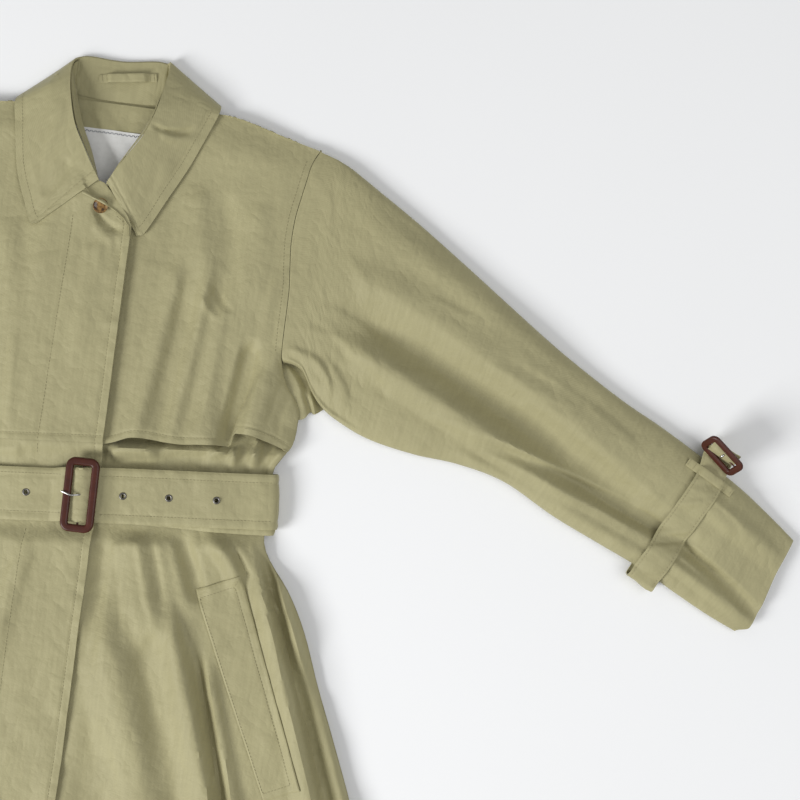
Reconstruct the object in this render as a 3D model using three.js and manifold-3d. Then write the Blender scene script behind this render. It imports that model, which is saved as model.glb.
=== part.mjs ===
// Trench coat laid flat, face up, on a surface.
// Millimetres, +Z up. The origin is on the coat's centre line at the waist, on the surface.
// +Y points to the neck. +X points to the wearer's left side, the right side of the picture.
import * as THREE from 'three';
import { mergeVertices } from 'three/addons/utils/BufferGeometryUtils.js';
import Module from 'manifold-3d';

const wasm = await Module();
wasm.setup();

// Cloth and clearances
const WALL = 1.8;
const THIN_WALL = 1.1;
const SEAM_GAP = 0.3;
const LIE_GAP = 0.9;
const LAP_GAP = 2.6;
const EDGE_INSET = 0.8;

// Body lengths, from the waist line
const CHEST_TOP_Y = 262;
const FLAP_HEM_Y = 51;
const UNDERLAP_X = 35;
const BELT_SLOPE = 0.088;
const BELT_RISE_Y = 1;

// Half width of the body at each height above the waist: hem, waist, armhole, shoulder
const SIDE_LINE = [
  { y: -632, x: 384 }, { y: -540, x: 377 }, { y: -450, x: 364 }, { y: -350, x: 343 },
  { y: -253, x: 309 }, { y: -204, x: 287 }, { y: -162, x: 266 }, { y: -116, x: 245 },
  { y: -84, x: 226 }, { y: -56, x: 205 }, { y: -36, x: 197 }, { y: 30, x: 197 },
  { y: 49, x: 208 }, { y: 60, x: 213 }, { y: 80, x: 214 }, { y: 97, x: 214 },
  { y: 114, x: 208 }, { y: 130, x: 199 }, { y: 148, x: 192.5 }, { y: 166, x: 190.5 },
  { y: 219, x: 190 }, { y: 240, x: 188 }, { y: 262, x: 186 }, { y: 276, x: 186 },
  { y: 291, x: 187 }, { y: 309, x: 190 }, { y: 326, x: 193 }, { y: 342, x: 196 }, { y: 357, x: 203 },
];

// Height of the rows of cloth below the chest, on the centre line
const BODY_ROWS = [
  -632, -585, -530, -475, -420, -368, -318, -272, -232, -197, -166, -138, -112, -88, -68, -50,
  -38, -14, 12, 38, 51, 62, 76, 92, 110, 129, 148, 172, 200, 230, 262,
];

// Upper rows of the wearer's left front: neckline point, start of the flap, height at the armhole
const UPPER_ROWS_LEFT = [
  { nx: -14, ny: 279, fx: 24, ay: 276 }, { nx: 9, ny: 290, fx: 30, ay: 291 },
  { nx: 24, ny: 318, fx: 27, ay: 309 }, { nx: 37, ny: 346, fx: 40, ay: 326 },
  { nx: 50, ny: 378, fx: 53, ay: 342 }, { nx: 58, ny: 408, fx: 60, ay: 354 },
];

// Upper rows of the wearer's right front, which laps over with a rounded corner at the neck
const UPPER_ROWS_RIGHT = [
  { nx: 28, ny: 266, fx: 24, ay: 274 }, { nx: 8, ny: 277, fx: 4, ay: 287 },
  { nx: -11, ny: 290, fx: -15, ay: 300 }, { nx: -20, ny: 318, fx: -24, ay: 314 },
  { nx: -32, ny: 346, fx: -36, ay: 328 }, { nx: -45, ny: 374, fx: -49, ay: 342 },
  { nx: -54, ny: 402, fx: -58, ay: 354 },
];

// Shoulder edge, under the collar and on to the sleeve
const SHOULDER_LEFT = [
  { x: 45, y: 408 }, { x: 57, y: 404 }, { x: 70, y: 397 }, { x: 85, y: 387 }, { x: 99, y: 377.5 },
  { x: 112, y: 376.5 }, { x: 132, y: 373 }, { x: 167, y: 363.5 }, { x: 203, y: 354.5 },
];
const SHOULDER_RIGHT = [
  { x: 35, y: 404 }, { x: 47, y: 398 }, { x: 58, y: 391 }, { x: 70, y: 380 }, { x: 84, y: 366 },
  { x: 97, y: 363 }, { x: 125, y: 361 }, { x: 165, y: 358.5 }, { x: 203, y: 354.5 },
];

// Folds: a crest or trough from (x0, y0) to (x1, y1), bowed sideways by bend,
// with half width w0 at its start and w1 at its end, and the height h of its middle
const SKIRT_FOLDS_LEFT = [
  { x0: 36, y0: -34, x1: 172, y1: -380, bend: -4, w0: 16, w1: 34, h: 9 },
  { x0: 88, y0: -32, x1: 176, y1: -300, bend: 16, w0: 13, w1: 26, h: 9 },
  { x0: 133, y0: -96, x1: 190, y1: -330, bend: 3, w0: 12, w1: 22, h: -8 },
  { x0: 130, y0: -18, x1: 190, y1: -66, bend: 4, w0: 12, w1: 14, h: 7 },
  { x0: 160, y0: -26, x1: 318, y1: -420, bend: 6, w0: 12, w1: 30, h: 11 },
  { x0: 192, y0: -20, x1: 300, y1: -330, bend: 6, w0: 9, w1: 17, h: -9 },
  { x0: 196, y0: -22, x1: 352, y1: -420, bend: 8, w0: 9, w1: 24, h: 6 },
  { x0: 120, y0: -300, x1: 190, y1: -650, bend: 8, w0: 26, w1: 48, h: 9 },
  { x0: 214, y0: -330, x1: 262, y1: -650, bend: -6, w0: 26, w1: 40, h: -5 },
  { x0: 30, y0: -240, x1: 62, y1: -650, bend: 0, w0: 26, w1: 40, h: 5 },
];
const SKIRT_FOLDS_RIGHT = [
  { x0: -70, y0: -36, x1: -100, y1: -330, bend: 6, w0: 16, w1: 30, h: 7 },
  { x0: -20, y0: -40, x1: -52, y1: -240, bend: -5, w0: 14, w1: 24, h: 4 },
  { x0: -128, y0: -40, x1: -186, y1: -360, bend: -8, w0: 14, w1: 32, h: 9 },
  { x0: -164, y0: -42, x1: -262, y1: -340, bend: 5, w0: 12, w1: 26, h: -6 },
  { x0: -178, y0: -44, x1: -322, y1: -430, bend: -6, w0: 12, w1: 30, h: 10 },
  { x0: -106, y0: -80, x1: -140, y1: -300, bend: 4, w0: 12, w1: 20, h: -6 },
  { x0: -140, y0: -310, x1: -176, y1: -650, bend: 6, w0: 28, w1: 46, h: 8 },
  { x0: -30, y0: -270, x1: -58, y1: -650, bend: 4, w0: 26, w1: 44, h: 6 },
];
const CHEST_FOLDS_LEFT = [
  { x0: 74, y0: 262, x1: 42, y1: 40, bend: -6, w0: 16, w1: 20, h: 4 },
  { x0: 92, y0: 262, x1: 70, y1: 50, bend: 5, w0: 13, w1: 17, h: 3 },
  { x0: 110, y0: 240, x1: 128, y1: 48, bend: 6, w0: 18, w1: 20, h: 5 },
  { x0: 146, y0: 196, x1: 148, y1: 66, bend: 3, w0: 12, w1: 13, h: -4 },
  { x0: 182, y0: 168, x1: 150, y1: 54, bend: -4, w0: 12, w1: 15, h: 6 },
];
const CHEST_FOLDS_RIGHT = [
  { x0: -84, y0: 262, x1: -60, y1: 40, bend: 6, w0: 16, w1: 22, h: 4 },
  { x0: -124, y0: 236, x1: -118, y1: 20, bend: -5, w0: 18, w1: 20, h: 5 },
  { x0: -180, y0: 176, x1: -152, y1: 40, bend: 4, w0: 12, w1: 15, h: 6 },
  { x0: 2, y0: 250, x1: -6, y1: 110, bend: 2, w0: 16, w1: 22, h: 2 },
];
const WAIST_PUFFS_LEFT = [
  { x0: 54, y0: 40, x1: 104, y1: 50, bend: 2, w0: 12, w1: 14, h: 9 },
  { x0: 106, y0: 47, x1: 140, y1: 55, bend: -2, w0: 11, w1: 12, h: 7 },
  { x0: 144, y0: 48, x1: 176, y1: 62, bend: 3, w0: 12, w1: 13, h: 9 },
  { x0: 178, y0: 54, x1: 212, y1: 60, bend: 2, w0: 12, w1: 12, h: 8 },
];
const WAIST_PUFFS_RIGHT = [
  { x0: -38, y0: 34, x1: -88, y1: 30, bend: 2, w0: 12, w1: 14, h: 6 },
  { x0: -98, y0: 28, x1: -140, y1: 26, bend: -2, w0: 12, w1: 13, h: 9 },
  { x0: -150, y0: 24, x1: -200, y1: 22, bend: 2, w0: 12, w1: 12, h: 8 },
];
const SLEEVE_FOLDS_LEFT = [
  { x0: 226, y0: 236, x1: 566, y1: 60, bend: 20, w0: 20, w1: 24, h: 8 },
  { x0: 200, y0: 206, x1: 556, y1: 38, bend: 18, w0: 15, w1: 18, h: -8 },
  { x0: 300, y0: 110, x1: 640, y1: -30, bend: 7, w0: 14, w1: 18, h: 7 },
  { x0: 392, y0: 100, x1: 668, y1: -36, bend: 3, w0: 10, w1: 14, h: -9 },
  { x0: 236, y0: 284, x1: 480, y1: 162, bend: 5, w0: 20, w1: 26, h: 4 },
  { x0: 196, y0: 152, x1: 240, y1: 112, bend: 8, w0: 8, w1: 9, h: 6 },
  { x0: 190, y0: 172, x1: 262, y1: 104, bend: 18, w0: 10, w1: 12, h: 4 },
  { x0: 600, y0: 44, x1: 676, y1: -6, bend: 2, w0: 12, w1: 16, h: 4 },
];
const SLEEVE_FOLDS_RIGHT = [
  { x0: -222, y0: 244, x1: -560, y1: 70, bend: -16, w0: 20, w1: 26, h: 8 },
  { x0: -202, y0: 200, x1: -520, y1: 52, bend: -14, w0: 16, w1: 20, h: -7 },
  { x0: -290, y0: 116, x1: -636, y1: -24, bend: -9, w0: 14, w1: 18, h: 7 },
  { x0: -420, y0: 86, x1: -664, y1: -34, bend: -3, w0: 10, w1: 14, h: -8 },
  { x0: -196, y0: 154, x1: -244, y1: 108, bend: -8, w0: 8, w1: 10, h: 6 },
  { x0: -606, y0: 46, x1: -674, y1: 0, bend: -3, w0: 12, w1: 15, h: 5 },
];

// Sleeve sections: point on the upper edge, point on the lower edge, bow along the sleeve
const SLEEVE_SECTIONS = [
  { ux: 204, uy: 356, lx: 198, ly: 149.5, bow: -9.5 }, { ux: 232, uy: 343, lx: 223, ly: 133, bow: -5 },
  { ux: 262, uy: 325, lx: 247, ly: 109, bow: 0 }, { ux: 305, uy: 298, lx: 281, ly: 90, bow: 0 },
  { ux: 355, uy: 264, lx: 326, ly: 81, bow: 0 }, { ux: 398, uy: 234, lx: 370, ly: 77, bow: 0 },
  { ux: 455, uy: 195, lx: 416, ly: 66, bow: 0 }, { ux: 515, uy: 159, lx: 466, ly: 40, bow: 0 },
  { ux: 560, uy: 136, lx: 512, ly: 20, bow: 0 }, { ux: 604, uy: 111, lx: 554, ly: 2, bow: 0 },
  { ux: 640, uy: 89, lx: 592, ly: -18, bow: 0 }, { ux: 668, uy: 69, lx: 624, ly: -34, bow: 2 },
  { ux: 696, uy: 47, lx: 652, ly: -46, bow: 4 },
];
const SLEEVE_STEPS = 22;
const SLEEVE_EDGE_HEIGHT = 4.6;
const SLEEVE_PUFF = 13;
const SLEEVE_ROUNDING = 34;

// Collar sections: roll point, edge point, heights of the middle of the cloth from roll to edge
const COLLAR_SECTIONS = [
  { rx: 8, ry: 297, ex: 41, ey: 252, z: [22, 22, 20, 17] },
  { rx: 14, ry: 307, ex: 48, ey: 256, z: [26, 26, 22, 16] },
  { rx: 25, ry: 325, ex: 62, ey: 284, z: [28, 28, 23, 15] },
  { rx: 38, ry: 347, ex: 83, ey: 326, z: [28, 28, 23, 14] },
  { rx: 46, ry: 372, ex: 99, ey: 366, z: [26, 25, 21, 14] },
  { rx: 49, ry: 398, ex: 103, ey: 379, z: [18, 20, 18, 12] },
  { rx: 52, ry: 421, ex: 102, ey: 385, z: [8, 6, 5, 4.5] },
  { rx: 51, ry: 419, ex: 100, ey: 383, z: [4.4, 0.9, 0.9, 0.9] },
  { rx: 34, ry: 420, ex: 62, ey: 360, z: [4.4, 0.9, 0.9, 0.9] },
  { rx: 4, ry: 416, ex: 2, ey: 356, z: [4.4, 0.9, 0.9, 0.9] },
  { rx: -26, ry: 417, ex: -56, ey: 356, z: [4.4, 0.9, 0.9, 0.9] },
  { rx: -42, ry: 413, ex: -88, ey: 370, z: [4.4, 0.9, 0.9, 0.9] },
  { rx: -43, ry: 415, ex: -90, ey: 372, z: [8, 6, 5, 4.5] },
  { rx: -40, ry: 391, ex: -91, ey: 362, z: [18, 20, 18, 12] },
  { rx: -36, ry: 371, ex: -87, ey: 340, z: [24, 25, 21, 14] },
  { rx: -29, ry: 348, ex: -80, ey: 300, z: [28, 28, 23, 14] },
  { rx: -18, ry: 328, ex: -68, ey: 268, z: [28, 28, 23, 15] },
  { rx: -8, ry: 311, ex: -61, ey: 252, z: [26, 26, 22, 16] },
  { rx: 0, ry: 299, ex: -55, ey: 251, z: [24, 24, 21, 17] },
];
// Lower edge of the collar stand below each roll point, and its height there
const STAND_FEET = [
  { x: 8, y: 294, z: 16 }, { x: 12, y: 304, z: 15 }, { x: 20, y: 326, z: 14 },
  { x: 32, y: 349, z: 13 }, { x: 43, y: 374, z: 10 }, { x: 48, y: 390, z: 6 },
  { x: 48.5, y: 386, z: 4.6 }, { x: 47, y: 381, z: 3.2 }, { x: 33, y: 378, z: 3.1 },
  { x: 2, y: 377, z: 3.1 }, { x: -24, y: 378, z: 3.1 }, { x: -37, y: 380, z: 3.2 },
  { x: -38.5, y: 384, z: 4.6 }, { x: -37, y: 386, z: 7 }, { x: -32, y: 370, z: 10 },
  { x: -24, y: 349, z: 13 }, { x: -13, y: 327, z: 15 }, { x: -6, y: 310, z: 17 },
  { x: -1, y: 297, z: 19 },
];
const COLLAR_LIFT = 2.1;

// Belt and its buckle
const BELT_WIDTH = 52;
const BELT_THICK = 2;
const BELT_SIDE_S = 203.3;
const BELT_STEP = 11;
const BUCKLE_S = 21;
const TAIL_END_S = 178;
const EYELET_PLACES = [-32, 60, 103.5, 149];
const BELT_BUCKLE = {
  width: 32, height: 70.5, bar: 7.5, thick: 4.5, corner: 9, pin: 1.2, pinDrop: 3.5, strap: BELT_THICK,
  strapWidth: BELT_WIDTH,
};

// Cuff strap: where its middle crosses the sleeve's upper and lower edges, and its buckle
const STRAP_TOP = { x: 612.5, y: 106.5 };
const STRAP_LOW = { x: 553.5, y: -14 };
const STRAP_WIDTH = 26;
const STRAP_THICK = 1.5;
const STRAP_BAND = 40;
const CUFF_BUCKLE = {
  width: 25, height: 42, bar: 5, thick: 3.6, corner: 7, pin: 0.9, pinDrop: 2.2, strap: STRAP_THICK,
  strapWidth: STRAP_WIDTH,
};
const CUFF_BUCKLE_TILT = 54;
const CARRIER = { x0: 584, y0: 108.5, x1: 629, y1: 84, width: 8.5 };

// Welt pocket corners on the wearer's left front
const WELT = { topInX: 137, topInY: -80, topOutX: 180, topOutY: -54, runX: 86, runY: -190, thick: 1.4 };

// Inside of the neck: facing, bare label, hanger loop, button and the fly's upper corner over it
const NECK_FACING = { x: -40, y: 288, height: 86.5, width: 88, thick: THIN_WALL };
const NECK_LABEL = { x: -34, y: 296, height: 53, width: 74, thick: 1 };
const HANGER = { x: -16, y: 396, length: 54, climb: 8, rise: 5.2, width: 8, thick: 1.2, steps: 12 };
const BUTTON_PLACE = { x: 3, y: 274 };
const BUTTON_PROFILE = [[0, 0], [5, 0], [5.8, 0.8], [5.6, 1.9], [4.4, 2.6], [3.6, 2.0], [0, 2.0]];
const EYELET_PROFILE = [[1.7, 0], [3.6, 0], [3.6, 0.4], [2.7, 0.9], [1.7, 0.9], [1.7, 0]];
const FLY_FACING = [
  [[-12, 286], [-6, 291], [2, 297.5]], [[-4, 282], [3, 287], [10, 291]], [[6, 278], [12, 280], [18, 281]],
  [[18, 270], [22, 272], [26, 272]], [[28, 260], [30, 262], [33, 263]],
];

const FABRIC = '#a9a37c';
const SLOTS = {
  gabardine: { color: FABRIC, roughness: 0.8, metalness: 0 },
  buckle_leather: { color: '#5a2f22', roughness: 0.45, metalness: 0 },
  silver_metal: { color: '#c9c9c6', roughness: 0.3, metalness: 1 },
  label_cloth: { color: '#e2e2df', roughness: 0.7, metalness: 0 },
  tortoise_button: { color: '#6b4525', roughness: 0.25, metalness: 0 },
};

const coat = new THREE.Group();
coat.name = 'trench_coat';

// Small numeric helpers
function mix(a, b, t) {
  return a + (b - a) * t;
}

function smooth(from, to, value) {
  const t = Math.min(1, Math.max(0, (value - from) / (to - from)));
  return t * t * (3 - 2 * t);
}

// Reads a table at a key, through a smooth curve over its rows
function readTable(rows, key, column, at) {
  let i = 0;
  while (i < rows.length - 2 && rows[i + 1][key] < at) i += 1;
  const span = rows[i + 1][key] - rows[i][key];
  const t = Math.min(1, Math.max(0, (at - rows[i][key]) / span));
  const before = rows[Math.max(0, i - 1)];
  const after = rows[Math.min(rows.length - 1, i + 2)];
  const slope0 = (rows[i + 1][column] - before[column]) / (rows[i + 1][key] - before[key]);
  const slope1 = (after[column] - rows[i][column]) / (after[key] - rows[i][key]);
  const t2 = t * t;
  const t3 = t2 * t;
  return rows[i][column] * (2 * t3 - 3 * t2 + 1) + rows[i + 1][column] * (3 * t2 - 2 * t3)
    + span * (slope0 * (t3 - 2 * t2 + t) + slope1 * (t3 - t2));
}

// Adds up the crests and troughs at a point
function foldHeight(folds, x, y) {
  let total = 0;
  for (const fold of folds) {
    const dx = fold.x1 - fold.x0;
    const dy = fold.y1 - fold.y0;
    const length = Math.hypot(dx, dy);
    const s = ((x - fold.x0) * dx + (y - fold.y0) * dy) / (length * length);
    if (s <= 0 || s >= 1) continue;
    const side = ((x - fold.x0) * dy - (y - fold.y0) * dx) / length;
    const offset = Math.abs(side + fold.bend * 4 * s * (1 - s));
    const q = offset / mix(fold.w0, fold.w1, s);
    if (q >= 1) continue;
    total += fold.h * smooth(0, 0.16, s) * smooth(1, 0.72, s) * (1 - q * q) ** 2;
  }
  return total;
}

// Closed body between two grids of points. A ring grid joins its last column to its first.
function bodyFromGrids(outer, inner, ring = false) {
  const rows = outer.length;
  const cols = outer[0].length;
  const points = [...outer.flat(), ...inner.flat()];
  const half = rows * cols;
  const faces = [];
  const quad = (a, b, c, d) => faces.push(a, b, c, a, c, d);
  const spans = ring ? cols : cols - 1;
  for (let j = 0; j < rows - 1; j += 1) {
    for (let i = 0; i < spans; i += 1) {
      const k = (i + 1) % cols;
      quad(j * cols + i, j * cols + k, (j + 1) * cols + k, (j + 1) * cols + i);
      quad(half + j * cols + i, half + (j + 1) * cols + i, half + (j + 1) * cols + k, half + j * cols + k);
    }
  }
  for (let i = 0; i < spans; i += 1) {
    const k = (i + 1) % cols;
    quad(i, half + i, half + k, k);
    const last = (rows - 1) * cols;
    quad(last + i, last + k, half + last + k, half + last + i);
  }
  if (!ring) {
    for (let j = 0; j < rows - 1; j += 1) {
      const right = cols - 1;
      quad(j * cols, (j + 1) * cols, half + (j + 1) * cols, half + j * cols);
      quad(j * cols + right, half + j * cols + right, half + (j + 1) * cols + right, (j + 1) * cols + right);
    }
  }
  return geometryFrom(points, faces);
}

// Geometry with its faces turned outward
function geometryFrom(points, faces) {
  let volume = 0;
  const a = new THREE.Vector3();
  const b = new THREE.Vector3();
  const c = new THREE.Vector3();
  for (let i = 0; i < faces.length; i += 3) {
    a.set(...points[faces[i]]);
    b.set(...points[faces[i + 1]]);
    c.set(...points[faces[i + 2]]);
    volume += a.dot(b.cross(c));
  }
  if (volume < 0) faces.reverse();
  const geometry = new THREE.BufferGeometry();
  geometry.setAttribute('position', new THREE.Float32BufferAttribute(points.flat(), 3));
  geometry.setIndex(faces);
  return geometry;
}

// Sheet of cloth whose upper face has the given heights
function sheet(grid, topOf, wall = WALL) {
  const upper = grid.map((row) => row.map(([x, y]) => [x, y, topOf(x, y)]));
  const lower = upper.map((row) => row.map(([x, y, z]) => [x, y, z - wall]));
  return bodyFromGrids(upper, lower);
}

// Shell around a grid of middle points, half the wall to each side
function shell(middle, wall = WALL) {
  const rows = middle.length;
  const cols = middle[0].length;
  const at = (j, i) => new THREE.Vector3(...middle[j][i]);
  const upper = [];
  const lower = [];
  for (let j = 0; j < rows; j += 1) {
    upper.push([]);
    lower.push([]);
    for (let i = 0; i < cols; i += 1) {
      const along = at(Math.min(rows - 1, j + 1), i).sub(at(Math.max(0, j - 1), i));
      const across = at(j, Math.min(cols - 1, i + 1)).sub(at(j, Math.max(0, i - 1)));
      const normal = along.cross(across).normalize().multiplyScalar(wall / 2);
      upper[j].push(at(j, i).add(normal).toArray());
      lower[j].push(at(j, i).sub(normal).toArray());
    }
  }
  return bodyFromGrids(upper, lower);
}

// Strip of even width along a path in its own X and Z, such as a strap
function strip(path, width, thick) {
  const upper = [];
  const lower = [];
  path.forEach(([x, z], i) => {
    const before = path[Math.max(0, i - 1)];
    const after = path[Math.min(path.length - 1, i + 1)];
    const inLength = Math.hypot(x - before[0], z - before[1]) || 1;
    const outLength = Math.hypot(after[0] - x, after[1] - z) || 1;
    let tx = (x - before[0]) / inLength + (after[0] - x) / outLength;
    let tz = (z - before[1]) / inLength + (after[1] - z) / outLength;
    const length = Math.hypot(tx, tz);
    tx /= length;
    tz /= length;
    const half = (thick / 2) * Math.min(1.4, length === 0 ? 1 : 2 / length);
    const reach = i === 0 || i === path.length - 1 ? thick / 2 : half;
    upper.push([-width / 2, width / 2].map((y) => [x - tz * reach, y, z + tx * reach]));
    lower.push([-width / 2, width / 2].map((y) => [x + tz * reach, y, z - tx * reach]));
  });
  return bodyFromGrids(upper, lower);
}

// Height map of everything laid down so far, so that the next piece can lie on it
const CELL = 3;
const MAP_COLS = 500;
const MAP_ROWS = 400;
const laid = new Float32Array(MAP_COLS * MAP_ROWS);
const cellX = (x) => Math.floor(x / CELL) + MAP_COLS / 2;
const cellY = (y) => Math.floor((y + 700) / CELL);

function layDown(geometry, matrix = new THREE.Matrix4()) {
  const flat = geometry.index ? geometry.toNonIndexed() : geometry;
  const position = flat.getAttribute('position');
  const corners = [new THREE.Vector3(), new THREE.Vector3(), new THREE.Vector3()];
  for (let i = 0; i < position.count; i += 3) {
    corners.forEach((corner, k) => corner.fromBufferAttribute(position, i + k).applyMatrix4(matrix));
    const [a, b, c] = corners;
    const area = (b.x - a.x) * (c.y - a.y) - (c.x - a.x) * (b.y - a.y);
    if (Math.abs(area) < 1e-3) continue;
    for (let q = cellY(Math.min(a.y, b.y, c.y)); q <= cellY(Math.max(a.y, b.y, c.y)); q += 1) {
      for (let p = cellX(Math.min(a.x, b.x, c.x)); p <= cellX(Math.max(a.x, b.x, c.x)); p += 1) {
        const x = (p - MAP_COLS / 2 + 0.5) * CELL;
        const y = (q + 0.5) * CELL - 700;
        const u = ((x - a.x) * (c.y - a.y) - (c.x - a.x) * (y - a.y)) / area;
        const v = ((b.x - a.x) * (y - a.y) - (x - a.x) * (b.y - a.y)) / area;
        if (u < -0.2 || v < -0.2 || u + v > 1.2) continue;
        const z = a.z + u * (b.z - a.z) + v * (c.z - a.z);
        const top = Math.min(z, Math.max(a.z, b.z, c.z));
        const cell = q * MAP_COLS + p;
        if (top > laid[cell]) laid[cell] = top;
      }
    }
  }
}

function highest(x, y, reach) {
  let top = 0;
  for (let q = cellY(y - reach); q <= cellY(y + reach); q += 1) {
    for (let p = cellX(x - reach); p <= cellX(x + reach); p += 1) {
      top = Math.max(top, laid[q * MAP_COLS + p]);
    }
  }
  return top;
}

// Solids for cutting and joining
function toSolid(geometry) {
  const plain = geometry.clone();
  plain.deleteAttribute('normal');
  plain.deleteAttribute('uv');
  const merged = mergeVertices(plain, 1e-4);
  const mesh = new wasm.Mesh({
    numProp: 3,
    vertProperties: new Float32Array(merged.getAttribute('position').array),
    triVerts: new Uint32Array(merged.index.array),
  });
  return new wasm.Manifold(mesh);
}

function fromSolid(solid) {
  const mesh = solid.getMesh();
  const geometry = new THREE.BufferGeometry();
  geometry.setAttribute('position', new THREE.BufferAttribute(new Float32Array(mesh.vertProperties), 3));
  geometry.setIndex(new THREE.BufferAttribute(new Uint32Array(mesh.triVerts), 1));
  return geometry;
}

function box(x0, x1, y0, y1, z0, z1) {
  const geometry = new THREE.BoxGeometry(x1 - x0, y1 - y0, z1 - z0);
  geometry.translate((x0 + x1) / 2, (y0 + y1) / 2, (z0 + z1) / 2);
  return geometry;
}

function addPiece(name, slot, geometry, parent = coat) {
  const material = new THREE.MeshStandardMaterial(SLOTS[slot]);
  material.name = slot;
  const mesh = new THREE.Mesh(geometry, material);
  mesh.name = name;
  parent.add(mesh);
  parent.updateWorldMatrix(true, false);
  layDown(geometry, parent.matrixWorld);
  return mesh;
}

// Slope of the rows of cloth, which follow the belt at the waist and are level elsewhere
function rowSlope(rowY) {
  return BELT_SLOPE * smooth(-250, -60, rowY) * smooth(140, 60, rowY);
}

function beltDistance(x, y) {
  return Math.abs(y - BELT_RISE_Y - BELT_SLOPE * x);
}

// How far the back lies above the surface, over the belt's back pass and the collar
function backLift(x, y) {
  const overBelt = BELT_THICK + SEAM_GAP;
  const overTail = overBelt * smooth(126, 146, x);
  const belt = (overBelt + overTail) * smooth(72, 42, beltDistance(x, y));
  const collar = COLLAR_LIFT * smooth(318, 340, y) * Math.min(1, Math.max(0, (172 - Math.abs(x)) / 48));
  return Math.max(belt, collar);
}

function backTop(x, y) {
  return WALL + backLift(x, y);
}

// Rows of the body, each from the side on the wearer's right to that on the wearer's left
const BACK_FRACTIONS = [
  -1, -0.86, -0.62, -0.44, -0.34, -0.235, -0.2, 0, 0.243, 0.285, 0.36, 0.5, 0.66, 0.86, 1,
];
const BACK_UPPER_ROWS = 6;
const SHOULDER_X = 201;

// Upper edge of the back: a shallow neck scoop between two shoulder lines
function shoulderEdge(x) {
  return readTable(x > 0 ? SHOULDER_LEFT : SHOULDER_RIGHT, 'x', 'y', Math.abs(x));
}

function backTopEdge(x) {
  const neckHalf = x > 0 ? 50 : 41;
  return Math.abs(x) < neckHalf ? 375.6 : shoulderEdge(x);
}

function sideLine(y) {
  return readTable(SIDE_LINE, 'y', 'x', y);
}

function backGrid() {
  const grid = BODY_ROWS.filter((y, i) => i % 3 === 0 || y > -80).map((rowY) => {
    const slope = rowSlope(rowY);
    return BACK_FRACTIONS.map((f) => {
      const x = f * (sideLine(rowY) - EDGE_INSET);
      return [x, rowY + slope * x];
    });
  });
  const shoulderY = shoulderEdge(SHOULDER_X);
  for (let j = 1; j <= BACK_UPPER_ROWS; j += 1) {
    const v = j / BACK_UPPER_ROWS;
    const half = sideLine(mix(CHEST_TOP_Y, shoulderY, v)) - EDGE_INSET;
    grid.push(BACK_FRACTIONS.map((f) => [f * half, mix(CHEST_TOP_Y, backTopEdge(f * half), v)]));
  }
  return grid;
}

// Folds of the two fronts
const FRONT_SIDES = {
  left: { skirt: SKIRT_FOLDS_LEFT, chest: CHEST_FOLDS_LEFT, puffs: WAIST_PUFFS_LEFT },
  right: { skirt: SKIRT_FOLDS_RIGHT, chest: CHEST_FOLDS_RIGHT, puffs: WAIST_PUFFS_RIGHT },
};

function pillow(x, y) {
  const rowY = y - rowSlope(y) * x;
  const half = sideLine(Math.min(rowY, CHEST_TOP_Y));
  const inFromSide = Math.max(0, half - Math.abs(x));
  const bySide = Math.sqrt(1 - (1 - Math.min(1, inFromSide / 46)) ** 2);
  const sideFactor = mix(bySide, 1, smooth(138, 176, y));
  const byShoulder = smooth(-4, 34, shoulderEdge(x) - y);
  const chest = mix(8, 5, smooth(200, 280, y));
  const height = mix(mix(11, 7, smooth(-150, 20, y)), chest, smooth(60, 200, y));
  return height * sideFactor * mix(1, byShoulder, smooth(262, 300, y));
}

function frontTop(side, x, y) {
  const floor = backTop(x, y) + SEAM_GAP + WALL;
  const { skirt, chest, puffs } = FRONT_SIDES[side];
  const folds = foldHeight(skirt, x, y) + foldHeight(chest, x, y) + foldHeight(puffs, x, y);
  const press = mix(0.16, 1, smooth(29, 48, beltDistance(x, y)));
  return floor + Math.max(0.1, press * (pillow(x, y) + folds));
}

// The wearer's right front lies over the left front and its flap
function lapLift(x, y) {
  const rowY = y - BELT_SLOPE * x;
  const layers = WALL + LAP_GAP + (WALL + LIE_GAP) * smooth(38, 54, rowY);
  return layers * smooth(-72, -42, x);
}

function neckLift(x, y) {
  const open = 6 * Math.exp(-(((x + 2) / 34) ** 2) - ((y - 290) / 26) ** 2);
  const buttonHollow = -3 * Math.exp(-(((x - 3) / 10) ** 2) - ((y - 273) / 8) ** 2);
  return open + buttonHollow;
}

function frontRightTop(x, y) {
  const left = frontTop('left', Math.max(x, -UNDERLAP_X), y);
  const right = frontTop('right', x, y);
  const under = mix(right, Math.max(left, right), smooth(-62, -UNDERLAP_X, x));
  return under + lapLift(x, y) + neckLift(x, y);
}

// Grid of one front, from its front edge to the side seam, then up to the shoulder
const FRONT_COLUMNS = [0, 0.1, 0.2, 0.3, 0.4, 0.5, 0.6, 0.7, 0.79, 0.87, 0.94, 1];
const UNDERLAP_COLUMNS = 2;

function frontRow(innerX, innerY, flapX, outerX, outerY) {
  const row = [];
  for (let i = 0; i < UNDERLAP_COLUMNS; i += 1) {
    const x = mix(innerX, flapX, i / UNDERLAP_COLUMNS);
    row.push([x, mix(innerY, outerY, (x - innerX) / (outerX - innerX))]);
  }
  for (const f of FRONT_COLUMNS) {
    const x = mix(flapX, outerX, f);
    row.push([x, mix(innerY, outerY, (x - innerX) / (outerX - innerX))]);
  }
  return row;
}

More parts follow.
